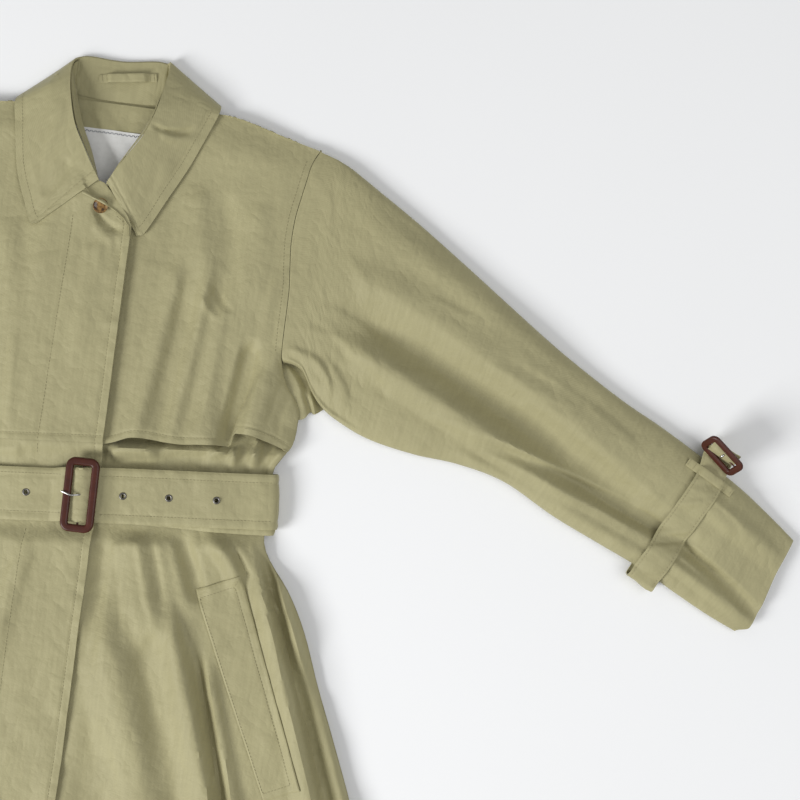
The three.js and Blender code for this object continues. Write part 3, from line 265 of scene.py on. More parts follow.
def smooth(start, end, value):
    """Eases from 0 to 1 between two values, in either direction."""
    t = np.clip((np.asarray(value, float) - start) / (end - start), 0.0, 1.0)
    return t * t * (3 - 2 * t)


def read_table(rows, at, column=1):
    """Value of a table at a key, along a smooth curve through its rows."""
    table = np.array(rows, float)
    keys, values = table[:, 0], table[:, column]
    at = np.asarray(at, float)
    i = np.clip(np.searchsorted(keys, at) - 1, 0, len(keys) - 2)
    before, after = np.maximum(i - 1, 0), np.minimum(i + 2, len(keys) - 1)
    span = keys[i + 1] - keys[i]
    t = np.clip((at - keys[i]) / span, 0.0, 1.0)
    slope0 = (values[i + 1] - values[before]) / (keys[i + 1] - keys[before])
    slope1 = (values[after] - values[i]) / (keys[after] - keys[i])
    return (values[i] * (2 * t**3 - 3 * t**2 + 1) + values[i + 1] * (3 * t**2 - 2 * t**3)
            + span * (slope0 * (t**3 - 2 * t**2 + t) + slope1 * (t**3 - t**2)))


def fold_height(folds, x, y):
    """Adds up folds (x0, y0, x1, y1, bend, w0, w1, h, lean). The lean steepens one flank.

    A fold rises over its first sixth and runs out over its last quarter or so.
    """
    total = np.zeros(np.broadcast(x, y).shape)
    for x0, y0, x1, y1, bend, w0, w1, h, *lean in folds:
        dx, dy = x1 - x0, y1 - y0
        length = math.hypot(dx, dy)
        s = ((x - x0) * dx + (y - y0) * dy) / length**2
        side = ((x - x0) * dy - (y - y0) * dx) / length + bend * 4 * s * (1 - s)
        width = mix(w0, w1, np.clip(s, 0, 1)) * (1 + (lean[0] if lean else 0.0) * np.sign(side))
        q = np.clip(np.abs(side) / width, 0, 1)
        total += h * smooth(0, FOLD_RISE, s) * smooth(1, FOLD_FALL, s) * (1 - q * q) ** 2
    return total


def drift(x, y, cell, seed):
    """Smooth random height from -1 to 1, with lumps of the given size in millimetres."""
    lattice = np.random.default_rng(seed).uniform(-1, 1, (LATTICE, LATTICE))
    u = np.asarray(x, float) / cell + LATTICE_SHIFT
    v = np.asarray(y, float) / cell + LATTICE_SHIFT
    i, j = np.floor(u).astype(int), np.floor(v).astype(int)
    s, t = u - i, v - j
    s, t = s * s * (3 - 2 * s), t * t * (3 - 2 * t)
    i0, i1 = i % LATTICE, (i + 1) % LATTICE
    j0, j1 = j % LATTICE, (j + 1) % LATTICE
    return mix(mix(lattice[i0, j0], lattice[i1, j0], s), mix(lattice[i0, j1], lattice[i1, j1], s), t)


def pucker(distance, along, line, reach, seed, height=0.5):
    """Groove of a stitched line at a distance from an edge, and the small puffs that it gathers."""
    groove = -GROOVE_DEPTH * np.exp(-((distance - line) / GROOVE_HALF_WIDTH) ** 2)
    puff = np.where(distance < line, 1.0, np.exp(-((distance - line) / reach) ** 2))
    return groove + height * puff * (0.6 * drift(along, distance * 0.6, 9.0, seed)
                                     + 0.5 * drift(along, distance * 0.6, 17.0, seed + 1))


def soften(values, passes):
    """Evens out a row of numbers, keeping its length."""
    for _ in range(passes):
        values = np.convolve(np.pad(values, 1, mode="edge"), [0.25, 0.5, 0.25], mode="valid")
    return values


# %% [markdown]
# ## From a grid to a piece of cloth
# A grid of points becomes quads with a UV map in metres. Solidify then gives the wall, kept on
# the inside of the worked-out face, so the outer face stays exactly where the folds put it.

# %% Cloth builder
ALL_BUT_LAST = slice(None, -1)
ALL_BUT_FIRST = slice(1, None)
QUAD_CORNERS = [(ALL_BUT_LAST, ALL_BUT_LAST), (ALL_BUT_LAST, ALL_BUT_FIRST),
                (ALL_BUT_FIRST, ALL_BUT_FIRST), (ALL_BUT_FIRST, ALL_BUT_LAST)]
SMOOTH_DEGREES = 50
RAY_START_Z = 0.2


def select_only(piece):
    bpy.ops.object.select_all(action="DESELECT")
    piece.select_set(True)
    bpy.context.view_layer.objects.active = piece


def faces_inward(flat, quads, ring):
    """Whether most faces look down, or towards the middle where the grid is closed to a tube."""
    origin = flat[quads[:, 0]]
    normals = np.cross(flat[quads[:, 1]] - origin, flat[quads[:, 3]] - origin)
    if ring:
        return np.einsum("ij,ij->i", normals, origin - flat.mean(0)).sum() < 0
    return normals[:, 2].sum() < 0


def pick_no_elements(kind):
    """Leaves the active mesh in object mode with nothing picked, ready to pick edges or faces."""
    bpy.ops.object.mode_set(mode="EDIT")
    bpy.ops.mesh.select_mode(type=kind)
    bpy.ops.mesh.select_all(action="DESELECT")
    bpy.ops.object.mode_set(mode="OBJECT")


def grid_mesh(name, points, uv, ring=False):
    """Quads over a grid of points in millimetres. A ring joins its last column to its first."""
    rows, cols = points.shape[:2]
    index = np.arange(rows * cols).reshape(rows, cols)
    if ring:
        index = np.hstack([index, index[:, :1]])
    corner = np.arange(uv.shape[0] * uv.shape[1]).reshape(uv.shape[:2])
    quads = np.stack([index[c] for c in QUAD_CORNERS], -1).reshape(-1, 4)
    corners = np.stack([corner[c] for c in QUAD_CORNERS], -1).reshape(-1, 4)
    flat = points.reshape(-1, 3)
    if faces_inward(flat, quads, ring):
        quads, corners = quads[:, ::-1], corners[:, ::-1]
    mesh = bpy.data.meshes.new(name)
    mesh.from_pydata((flat * MM).tolist(), [], quads.tolist())
    layer = mesh.uv_layers.new(name="cloth")
    layer.data.foreach_set("uv", (uv.reshape(-1, 2)[corners.ravel()] * MM).astype(np.float32).ravel())
    piece = bpy.data.objects.new(name, mesh)
    bpy.context.scene.collection.objects.link(piece)
    return piece


def thicken(piece, wall, offset=-1.0):
    """Gives a sheet its wall, below its face with an offset of -1 and to both sides with 0."""
    select_only(piece)
    wall_modifier = piece.modifiers.new("wall", "SOLIDIFY")
    wall_modifier.thickness = wall * MM
    wall_modifier.offset = offset
    bpy.ops.object.modifier_apply(modifier="wall")
    bpy.ops.object.shade_smooth_by_angle(angle=math.radians(SMOOTH_DEGREES))


def dress(piece, material, node=None):
    """Gives a piece its material and body, and hides the CAD node that it takes the place of."""
    piece.data.materials.clear()
    piece.data.materials.append(material)
    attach(piece, "root")
    if node:
        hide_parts(node)
    return piece


def shown_area(piece):
    """Area of one face of a thickened sheet, in square metres."""
    return sum(p.area for p in piece.data.polygons) / 2


def cloth(name, points, node, wall=1.2, ring=False, uv=None, offset=-1.0):
    """Cloth over a grid of points in millimetres, as one piece that stands for its CAD node."""
    laid_out = points[..., :2] if uv is None else uv
    piece = grid_mesh(name, points, laid_out, ring)
    thicken(piece, wall, offset)
    dress(piece, gabardine, node)
    triangles = len(piece.data.polygons) * 2
    print(name, triangles, "triangles, area", round(shown_area(piece), 3), "square metres")
    return piece


def surface_of(*objects):
    """A function that gives the height of the topmost of some objects below each point."""
    trees = []
    for piece in objects:
        coordinates = [v.co for v in piece.data.vertices]
        trees.append(BVHTree.FromPolygons(coordinates, [p.vertices for p in piece.data.polygons]))

    def height(x, y):
        flat = []
        for px, py in zip(np.ravel(x), np.ravel(y)):
            start = Vector((px * MM, py * MM, RAY_START_Z))
            hits = [t.ray_cast(start, Vector((0, 0, -1)))[0] for t in trees]
            flat.append(max([h.z / MM for h in hits if h is not None], default=0.0))
        return np.array(flat).reshape(np.shape(x))
    return height


def blur(grid, passes):
    """Softens the heights of a grid, keeping its outline."""
    for _ in range(passes):
        padded = np.pad(grid, 1, mode="edge")
        grid = (padded[1:-1, 1:-1] * 4 + padded[:-2, 1:-1] + padded[2:, 1:-1]
                + padded[1:-1, :-2] + padded[1:-1, 2:]) / 8
    return grid


# %% [markdown]
# ## Sewing thread
# A topstitch is a row of short raised threads that sit in their groove. One stitch is a slim
# spindle of a few faces, and it is copied along a path and dropped on the cloth under it.

# %% Topstitching
STITCH_LENGTH = 2.5
STITCH_PITCH = 3.3
STITCH_HALF_WIDTH = 0.34
STITCH_LIFT = 0.12
STITCH_FULL_SHARE = 0.6
STITCH_RING = [(-1, 0), (0, 1), (1, 0), (0, -1)]


def resample(path, step):
    """Even spots along a path, about one step apart, and their distances from its start."""
    path = np.array(path, float)
    along = np.concatenate([[0], np.cumsum(np.linalg.norm(np.diff(path, axis=0), axis=1))])
    count = max(2, int(round(along[-1] / step)) + 1)
    at = np.linspace(0, along[-1], count)
    return np.stack([np.interp(at, along, path[:, k]) for k in range(path.shape[1])], -1), at


def one_stitch(a, b, surface):
    """Four points along a stitch between two spots, on the surface if there is one, and its side."""
    middle = (a + b) / 2
    half = (b - a) / max(np.linalg.norm(b - a), 1e-6) * STITCH_LENGTH / 2
    full = half * STITCH_FULL_SHARE
    ends = np.array([middle - half, middle - full, middle + full, middle + half])
    if surface is not None:
        ends = np.column_stack([ends[:, :2], surface(ends[:, 0], ends[:, 1]) + STITCH_LIFT])
    sideways = np.array([-half[1], half[0], 0.0]) / (STITCH_LENGTH / 2) * STITCH_HALF_WIDTH
    return ends, sideways


def add_spindle(points, faces, ends, sideways):
    """Adds one thread: a point, two rings of four points and a point, with the faces between."""
    first = len(points)
    points.append(ends[0])
    for end in (ends[1], ends[2]):
        for u, v in STITCH_RING:
            points.append(end + sideways * u + np.array([0, 0, STITCH_HALF_WIDTH * v]))
    points.append(ends[3])
    for k in range(4):
        m = (k + 1) % 4
        faces.append((first, first + 1 + k, first + 1 + m))
        faces.append((first + 1 + k, first + 5 + k, first + 5 + m, first + 1 + m))
        faces.append((first + 5 + k, first + 9, first + 5 + m))


def stitches(name, paths, surface, material=None, pitch=STITCH_PITCH):
    """Threads along paths of (x, y), or of (x, y, z) where no surface is given.

    A stitch that would drop over an edge, by more than its own length, is left out.
    """
    points, faces = [], []
    for path in paths:
        spots, _ = resample(path, pitch)
        for a, b in zip(spots[:-1], spots[1:]):
            ends, sideways = one_stitch(a, b, surface)
            if surface is None or np.ptp(ends[:, 2]) <= STITCH_LENGTH:
                add_spindle(points, faces, ends, sideways)
    mesh = bpy.data.meshes.new(name)
    mesh.from_pydata((np.array(points) * MM).tolist(), [], faces)
    piece = bpy.data.objects.new(name, mesh)
    bpy.context.scene.collection.objects.link(piece)
    select_only(piece)
    bpy.ops.object.mode_set(mode="EDIT")
    bpy.ops.mesh.select_all(action="SELECT")
    bpy.ops.mesh.normals_make_consistent(inside=False)
    bpy.ops.object.mode_set(mode="OBJECT")
    print(name, len(faces), "faces")
    return dress(piece, material or thread_material)


# %% [markdown]
# ## The body's outline and height
# Back and fronts share one side line from the hem past the waist and armhole to the shoulder.
# The rows of cloth follow the belt, which tilts a little across the waist.

# %% Outline tables, in millimetres
SIDES = {"left": 1.0, "right": -1.0}
WALL = 1.8
SEAM_GAP = 0.3
LIE_GAP = 0.9
LAP_GAP = 1.5
EDGE_INSET = 0.4
BELT_MIDDLE_Y = 1.0
BELT_SLOPE = 0.088
BELT_THICK = 2.0
BELT_PRESS = 0.16
HEM_Y = -632.0
OUT_OF_VIEW_Y = -330.0
CHEST_TOP_Y = 262.0
FLAP_HEM_Y = 51.0
FLAP_START_X = 22.0
UNDERLAP_X = 35.0
FLY_LINE = 7.5
HEM_LINE = 6.5
SHOULDER_X = 201.0

SIDE_LINE = [
    (-632, 384), (-540, 377), (-450, 364), (-350, 343), (-253, 309), (-204, 287), (-162, 266),
    (-116, 245), (-84, 226), (-56, 205), (-36, 197), (30, 197), (49, 208), (60, 213), (80, 214),
    (97, 214), (114, 208), (130, 199), (148, 192.5), (166, 190.5), (219, 190), (240, 188),
    (262, 186), (276, 186), (291, 187), (309, 190), (326, 193), (342, 196), (357, 203)]
# Upper rows: number, neckline point x and y, start of the flap x, height at the armhole
UPPER_LEFT = [(0, -35, 262, 22, 262), (1, -14, 279, 24, 276), (2, 9, 290, 30, 291), (3, 24, 318, 27, 309),
              (4, 37, 346, 40, 326), (5, 50, 378, 53, 342), (6, 58, 408, 60, 354)]
UPPER_RIGHT = [(0, 35, 262, 35, 262), (1, 29, 266, 29, 274), (2, 9, 277, 9, 287), (3, -11, 290, -11, 300),
               (4, -20, 318, -20, 314), (5, -32, 346, -32, 328), (6, -45, 374, -45, 342),
               (7, -54, 402, -54, 354)]
SHOULDER_LEFT = [(45, 408), (57, 404), (70, 397), (85, 387), (99, 377.5), (112, 376.5), (132, 373),
                 (167, 363.5), (203, 354.5)]
SHOULDER_RIGHT = [(35, 404), (47, 398), (58, 391), (70, 380), (84, 366), (97, 363), (125, 361),
                  (165, 358.5), (203, 354.5)]

# %% Main folds of the body, (x0, y0, x1, y1, bend, w0, w1, h, lean)
SKIRT_LEFT = [
    (110, -72, 222, -420, 4, 17, 24, 12, 0.5), (140, -112, 233, -420, 2, 8, 12, -7),
    (154, -122, 250, -420, 0, 8, 13, 7), (115, -17, 148, -92, 0, 12, 14, -8),
    (142, -13, 186, -70, 3, 12, 13, 9, 0.2), (46, -26, 48, -170, 0, 12, 14, -5),
    (72, -20, 105, -140, 2, 18, 24, 8, 0.2), (44, -84, 158, -400, 5, 30, 42, 12, 0.2),
    (182, -16, 316, -370, 4, 10, 20, 12, 0.45), (191, -16, 322, -360, 4, 8, 14, -11),
    (198, -22, 344, -370, 5, 9, 18, 9, 0.3), (238, -104, 338, -380, 3, 8, 15, -9),
    (120, -300, 190, -650, 8, 26, 48, 9), (214, -330, 262, -650, -6, 26, 40, -5),
    (30, -240, 62, -650, 0, 26, 40, 5)]
SKIRT_RIGHT = [
    (-70, -36, -100, -330, 6, 16, 30, 7, 0.2), (-20, -40, -52, -240, -5, 14, 24, 4),
    (-128, -40, -186, -360, -8, 14, 32, 9, -0.2), (-164, -42, -262, -340, 5, 12, 26, -6),
    (-178, -44, -322, -430, -6, 12, 30, 10), (-106, -80, -140, -300, 4, 12, 20, -6),
    (-140, -310, -176, -650, 6, 28, 46, 8), (-30, -270, -58, -650, 4, 26, 44, 6)]
CHEST_LEFT = [
    (90, 312, 112, 180, 0, 22, 26, 4.0, 0.3), (118, 306, 134, 190, 2, 14, 16, -3.0),
    (150, 300, 158, 190, 2, 18, 22, 2.2), (86, 240, 58, 40, 2, 13, 16, 3.6, 0.2),
    (101, 250, 76, 40, 2, 18, 20, -4.2), (112, 226, 92, 40, 2, 10, 14, 2.6),
    (124, 236, 106, 50, 3, 12, 15, -3.6), (124, 206, 132, 40, -3, 18, 20, 3.8, 0.2),
    (162, 172, 151, 44, 0, 12, 16, -9), (188, 168, 170, 60, -4, 13, 16, 4)]
CHEST_RIGHT = [
    (-84, 262, -60, 40, 6, 16, 22, 4), (-124, 236, -118, 20, -5, 18, 20, 5),
    (-180, 176, -152, 40, 4, 12, 15, 6), (2, 250, -6, 110, 2, 16, 22, 2)]
PUFFS_LEFT = [
    (10, 61, 226, 76, 0, 13, 13, -9), (40, 44, 92, 48, 3, 13, 14, 12), (90, 43, 160, 53, 0, 12, 12, -8),
    (16, 38, 42, 44, 0, 10, 10, -8), (126, 42, 152, 66, 0, 9, 10, 6, 0.3),
    (150, 84, 216, 74, 4, 9, 9, -11), (158, 30, 158, 92, 1, 7, 7, 8, 0.3),
    (167, 30, 166, 92, 0, 7, 7, -9), (176, 26, 180, 90, 1, 7, 8, 9, 0.3),
    (186, 30, 190, 84, 1, 6, 6, -7), (192, 34, 208, 76, 2, 9, 11, 9, 0.2)]
PUFFS_RIGHT = [
    (-38, 34, -88, 30, 2, 12, 14, 6), (-98, 28, -140, 26, -2, 12, 13, 9),
    (-150, 24, -200, 22, 2, 12, 12, 8)]
BODY_FOLDS = {"left": SKIRT_LEFT + CHEST_LEFT, "right": SKIRT_RIGHT + CHEST_RIGHT}
PUFFS = {"left": PUFFS_LEFT, "right": PUFFS_RIGHT}

# %% Creases, narrower and sharper than the folds that they lie on
SKIRT_CREASES_LEFT = [
    (54, -30, 82, -150, 4, 6, 9, 1.6, -0.4), (74, -30, 104, -120, -3, 6, 8, -2.2, 0.3),
    (94, -28, 112, -92, 3, 6, 7, 1.8, -0.4), (162, -18, 192, -56, 3, 5, 6, 2.4, -0.4),
    (122, -104, 150, -190, -4, 6, 9, 1.6, 0.4), (92, -120, 132, -300, 5, 9, 15, -1.6, 0.2),
    (226, -110, 290, -300, 5, 7, 12, -1.4, 0.3), (86, -180, 110, -420, 0, 12, 20, 1.0),
    (60, -200, 100, -270, 6, 6, 9, 1.2, 0.4), (250, -330, 330, -600, 5, 14, 24, 4)]
SKIRT_CREASES_RIGHT = [
    (-40, -34, -60, -170, 3, 6, 10, -2.0, 0.3), (-58, -32, -88, -150, -3, 5, 9, 1.8, 0.3),
    (-92, -30, -120, -170, 4, 6, 9, -2.4, -0.3), (-118, -30, -150, -120, 2, 5, 8, 2.2, 0.3),
    (-150, -28, -190, -120, -3, 5, 8, -2.6, 0.3), (-184, -36, -236, -170, 3, 6, 10, 2.4, 0.4),
    (4, -36, -8, -200, 3, 6, 12, -1.4, 0.2), (-210, -110, -290, -320, -5, 8, 14, -2.6)]
CHEST_CREASES_LEFT = [
    (58, 150, 46, 48, 3, 6, 9, 0.8, 0.3), (118, 216, 142, 192, -3, 5, 6, -2.0, 0.3),
    (110, 206, 130, 184, -4, 4, 5, 2.0, 0.4), (46, 226, 86, 222, 2, 7, 8, 0.7, 0.3),
    (196, 148, 182, 84, -3, 6, 9, 1.6, 0.4), (206, 126, 196, 76, -3, 5, 7, -1.2, 0.3),
    (180, 240, 172, 150, -3, 8, 10, 1.6), (160, 120, 164, 76, 2, 5, 7, 1.2, 0.3)]
CHEST_CREASES_RIGHT = [
    (-60, 150, -52, 40, -3, 6, 9, 1.4), (-100, 140, -92, 30, 3, 6, 9, -1.6),
    (-196, 150, -170, 60, 3, 5, 8, 2.8, 0.3), (-208, 120, -190, 50, 3, 5, 7, -2.4),
    (-150, 170, -140, 60, 3, 7, 9, -1.8), (-12, 240, -16, 80, 2, 8, 12, -1.0)]
CREASES = {"left": SKIRT_CREASES_LEFT + CHEST_CREASES_LEFT,
           "right": SKIRT_CREASES_RIGHT + CHEST_CREASES_RIGHT}
NECK_CREASES = [
    (-2, 270, 29, 252, -3, 4, 6, -3.4, -0.3), (-1, 261, 25, 243, -3, 5, 7, 2.2, 0.3),
    (20, 250, 30, 214, 2, 4, 6, -1.2, 0.3), (8, 252, 16, 206, -2, 5, 7, 1.0, 0.3)]

# %% [markdown]
# ## How high the body lies
# The height of a front adds up what lies below it, the belt's back pass, the loft of the laid
# body, its folds and its creases. Under the belt everything is pressed nearly flat.

# %% Heights of the body
DRIFT_SEED = {"left": 11, "right": 12}
SIDE_ROLL = 46
LOFT_SKIRT = 11
LOFT_WAIST = 7
LOFT_CHEST = 8
LOFT_SHOULDER = 5
LEAST_LOFT = 0.1
BELT_DOUBLED_X = (126, 146)
UNDER_BELT = (29, 48)


def side_line(y):
    return read_table(SIDE_LINE, y)


def shoulder_edge(x):
    return np.where(x > 0, read_table(SHOULDER_LEFT, np.abs(x)), read_table(SHOULDER_RIGHT, np.abs(x)))


def row_slope(y):
    """Slope of the rows: the belt's near the waist, none at the hem and on the chest."""
    return BELT_SLOPE * smooth(-250, -60, y) * smooth(140, 60, y)


def belt_distance(x, y):
    return np.abs(y - BELT_MIDDLE_Y - BELT_SLOPE * x)


def back_lift(x, y):
    """Room under the back for the belt, which is doubled at the side, and for the collar."""
    over_belt = BELT_THICK + SEAM_GAP
    belt = (over_belt + over_belt * smooth(*BELT_DOUBLED_X, x)) * smooth(72, 42, belt_distance(x, y))
    collar = 2.1 * smooth(318, 340, y) * np.clip((172 - np.abs(x)) / 48, 0, 1)
    return np.maximum(belt, collar)


def pillow(x, y):
    """Loft of the laid body: full in the middle, rolling down at the side and shoulder."""
    row_y = np.minimum(y - row_slope(y) * x, CHEST_TOP_Y)
    in_from_side = np.clip((side_line(row_y) - np.abs(x)) / SIDE_ROLL, 0, 1)
    by_side = mix(np.sqrt(1 - (1 - in_from_side) ** 2), 1.0, smooth(138, 176, y))
    by_shoulder = smooth(-4, 34, shoulder_edge(x) - y)
    chest = mix(LOFT_CHEST, LOFT_SHOULDER, smooth(200, 280, y))
    skirt = mix(LOFT_SKIRT, LOFT_WAIST, smooth(-150, 20, y))
    height = mix(skirt, chest, smooth(60, 200, y))
    return height * by_side * mix(1, by_shoulder, smooth(262, 300, y))


def front_top(side, x, y, creased=True, puffed=True):
    """Height of a front's upper face, over the back and under the belt."""
    base = WALL + back_lift(x, y) + SEAM_GAP + WALL
    press = mix(BELT_PRESS, 1, smooth(*UNDER_BELT, belt_distance(x, y)))
    folds = fold_height(BODY_FOLDS[side], x, y)
    if puffed:
        folds = folds + fold_height(PUFFS[side], x, y)
    if creased:
        seed = DRIFT_SEED[side]
        folds = folds + fold_height(CREASES[side], x, y)
        folds = folds + 1.1 * drift(x, y * 0.45, 42, seed) + 0.55 * drift(x, y * 0.6, 19, seed + 4)
        folds = folds + 0.9 * smooth(-30, -60, y) * drift(x, y * 0.8, 15, seed + 6)
    return base + np.maximum(LEAST_LOFT, press * (pillow(x, y) + folds))


def lap_lift(x, y):
    """What the right front rises by where it laps over the left one and its flap."""
    layers = WALL + LAP_GAP + (WALL + LIE_GAP) * smooth(38, 54, y - BELT_SLOPE * x)
    return layers * smooth(-72, -42, x)


def neck_lift(x, y):
    """The fly's top corner stands up a little and droops below the button."""
    opened = 6 * np.exp(-(((x + 2) / 34) ** 2) - ((y - 290) / 26) ** 2)
    hollow = 3 * np.exp(-(((x - 5) / 10) ** 2) - ((y - 273) / 8) ** 2)
    return opened - hollow + fold_height(NECK_CREASES, x, y)


def front_right_top(x, y):
    left = front_top("left", np.maximum(x, -UNDERLAP_X), y, creased=False)
    right = front_top("right", x, y)
    under = mix(right, np.maximum(left, right), smooth(-62, -UNDERLAP_X, x))
    return under + lap_lift(x, y) + neck_lift(x, y)


# %% Rows of points across a front
def row_ends(side, row_y, upper):
    """Ends of the rows: plain rows by their height, then the upper rows by their number."""
    sign = SIDES[side]
    table = UPPER_LEFT if side == "left" else UPPER_RIGHT
    slope = row_slope(row_y)
    inner_x = np.full_like(row_y, -sign * UNDERLAP_X)
    outer_x = sign * (side_line(row_y) - EDGE_INSET)
    flap_start = np.full_like(row_y, FLAP_START_X if side == "left" else UNDERLAP_X)
    low = dict(nx=inner_x, ny=row_y + slope * inner_x, fx=flap_start, ox=outer_x,
               oy=row_y + slope * outer_x, bend=np.zeros_like(row_y))
    nx, ny, fx, oy = (read_table(table, upper, c) for c in (1, 2, 3, 4))
    bend = smooth(1, len(table) - 1, upper)
    corner = sign * SHOULDER_X
    lifted = mix(oy, np.minimum(ny, shoulder_edge(np.full_like(oy, corner))), bend)
    high = dict(nx=nx, ny=ny, fx=fx, ox=sign * (side_line(lifted) - EDGE_INSET), oy=oy, bend=bend)
    return {k: np.concatenate([low[k], high[k]])[:, None] for k in low}


def spread(fine_start, fine_count, count, fine_end):
    """Shares from 0 to 1 whose steps are fine at both ends, where edges are stitched."""
    t = np.linspace(0, 1, count)
    middle = fine_start + (1 - fine_start - fine_end) * t[1:-1]
    return np.concatenate([np.linspace(0, fine_start, fine_count), middle,
                           np.linspace(1 - fine_end, 1, fine_count)])


def front_grid(side, row_y, upper, shares, from_flap=False):
    """Points of a front, or of its flap, in plan. The upper rows bend to follow the shoulder."""
    ends = row_ends(side, row_y, upper)
    start = ends["fx"] if from_flap else ends["nx"]
    x = mix(start, ends["ox"], shares[None, :])
    y = mix(ends["ny"], ends["oy"], (x - ends["nx"]) / (ends["ox"] - ends["nx"]))
    return x, mix(y, np.minimum(ends["ny"], shoulder_edge(x)), ends["bend"])


FINE_STEP = 2.6
FLAP_FINE_TOP_Y = 66.0
BODY_ROWS = np.concatenate([np.arange(HEM_Y, OUT_OF_VIEW_Y, 8.0),
                            np.arange(OUT_OF_VIEW_Y, CHEST_TOP_Y, FINE_STEP)])
FLAP_ROWS = np.concatenate([np.arange(FLAP_HEM_Y, FLAP_FINE_TOP_Y, FINE_STEP / 2),
                            np.arange(FLAP_FINE_TOP_Y, CHEST_TOP_Y, FINE_STEP)])
UPPER_ROWS = {"left": np.linspace(0, 6, 40), "right": np.linspace(0, 7, 44)}
SHARES = spread(0.036, 12, 92, 0.03)
print("body rows", len(BODY_ROWS), "flap rows", len(FLAP_ROWS))

# %% [markdown]
# ## Back panel
# Only a strip of the back shows, inside the neck. It lies flat on the surface, over the belt's
# back pass, and is one plain sheet with a centre seam.

# %% Back panel
BACK_NECK_Y = 375.6


def back_grid():
    row_y = np.concatenate([np.arange(HEM_Y, CHEST_TOP_Y, 9.0), [CHEST_TOP_Y]])
    shares = np.linspace(-1, 1, 71)[None, :]
    half = (side_line(row_y) - EDGE_INSET)[:, None]
    x = shares * half
    y = row_y[:, None] + row_slope(row_y)[:, None] * x
    v = np.linspace(0, 1, 24)[1:, None]
    shoulder_y = float(shoulder_edge(np.array([SHOULDER_X]))[0])
    upper_half = side_line(mix(CHEST_TOP_Y, shoulder_y, v)) - EDGE_INSET
    ux = shares * upper_half
    at_neck = (ux > -41) & (ux < 50)
    uy = mix(CHEST_TOP_Y, np.where(at_neck, BACK_NECK_Y, shoulder_edge(ux)), v)
    return np.vstack([x, ux]), np.vstack([y, uy])


back_x, back_y = back_grid()
back_seam = -0.5 * np.exp(-(back_x / 1.6) ** 2)
back = cloth("back", np.dstack([back_x, back_y, WALL + back_lift(back_x, back_y) + back_seam]),
             "back_panel", wall=1.4)

# %% [markdown]
# ## Fronts and storm flaps
# The wearer's right front laps over the left and hides the buttons under a fly. Each storm flap
# hangs from the shoulder over the chest and ends in a free, stitched hem above the belt, where
# the cloth below it puffs out.

# %% Left front
left_x, left_y = front_grid("left", BODY_ROWS, UPPER_ROWS["left"], SHARES)
left_z = front_top("left", left_x, left_y)
front_left = cloth("front_left", np.dstack([left_x, left_y, left_z]), "front_left_panel")

# %% Left storm flap
FLAP_HEM_LEFT = [(22, 51.5), (35, 53), (45, 56), (59, 62), (76, 63), (92, 62), (108, 62), (124, 64),
                 (139, 65.5), (150, 66), (153, 67), (155.5, 78), (160, 80), (172, 80.5), (184, 77.5),
                 (196, 73.5), (212, 66)]
FLAP_FOLD_LINE = [(60, 153), (79, 154.5), (99.5, 159), (116.5, 164.5), (146, 174), (160, 180)]
FLAP_LIFT_LEFT = [(22, 1.0), (50, 2.0), (66, 5.0), (92, 2.6), (120, 3.5), (146, 3.5), (156, 3.5),
                  (182, 4.0), (212, 1.0)]


def held_table(table, at):
    """A value of one of the flap's tables, held where they end."""
    return read_table(table, np.clip(at, table[0][0], table[-1][0]))


def flap_fold_step(x, y):
    """The flap's side part is folded over: a step up, with a dark hollow before it."""
    past_fold = x - held_table(FLAP_FOLD_LINE, y)
    step = 5.0 * smooth(-0.8, 1.6, past_fold) * smooth(46, 14, past_fold)
    hollow = -3.2 * smooth(-20, -2, past_fold) * smooth(1.0, -1.5, past_fold)
    return (step + hollow) * smooth(156, 118, y)


def flap_top_left(x, y):
    """The flap lies on the front without its puffs, and over them where they are higher."""
    above_hem = y - held_table(FLAP_HEM_LEFT, x)
    lift = 1.3 * held_table(FLAP_LIFT_LEFT, x) * smooth(46, 2, above_hem)
    hem = pucker(above_hem, x, HEM_LINE, 9.0, 31, 0.75)
    laid = front_top("left", x, y, puffed=False) + flap_fold_step(x, y) + lift + hem
    return np.maximum(laid, front_top("left", x, y)) + LIE_GAP + WALL


flap_x, flap_y = front_grid("left", FLAP_ROWS, UPPER_ROWS["left"], SHARES, from_flap=True)
hem_now = FLAP_HEM_Y + BELT_SLOPE * flap_x
flap_y = flap_y + (held_table(FLAP_HEM_LEFT, flap_x) - hem_now) * smooth(100, 58, flap_y)
flap_left = cloth("storm_flap_left", np.dstack([flap_x, flap_y, flap_top_left(flap_x, flap_y)]),
                  "storm_flap_left", wall=1.0)

# %% Right front, with its fly
# Inner line of fly stitching: y, x
FLY_STITCH = [(-640, -31), (-168, -31), (-60, -29), (20, -27), (120, -25), (220, -22), (276, -21)]


def right_detail(x, y):
    """Puckers along the fly's edge and the groove of its inner line of stitching."""
    edge = pucker(UNDERLAP_X - x, y * 1.3, FLY_LINE, 9.0, 41, 1.0) * smooth(285, 262, y)
    fly_x = read_table(FLY_STITCH, y)
    fly = -0.6 * np.exp(-(((x - fly_x) / 1.4) ** 2)) * smooth(284, 276, y)
    return edge + fly + 0.35 * np.exp(-(((x - fly_x) / 7) ** 2)) * drift(x, y, 12, 43)


right_x, right_y = front_grid("right", BODY_ROWS, UPPER_ROWS["right"], SHARES)
right_z = front_right_top(right_x, right_y) + right_detail(right_x, right_y)
front_right = cloth("front_right", np.dstack([right_x, right_y, right_z]), "front_right_panel")

# %% Right storm flap
flapr_x, flapr_y = front_grid("right", FLAP_ROWS, UPPER_ROWS["right"], SHARES, from_flap=True)


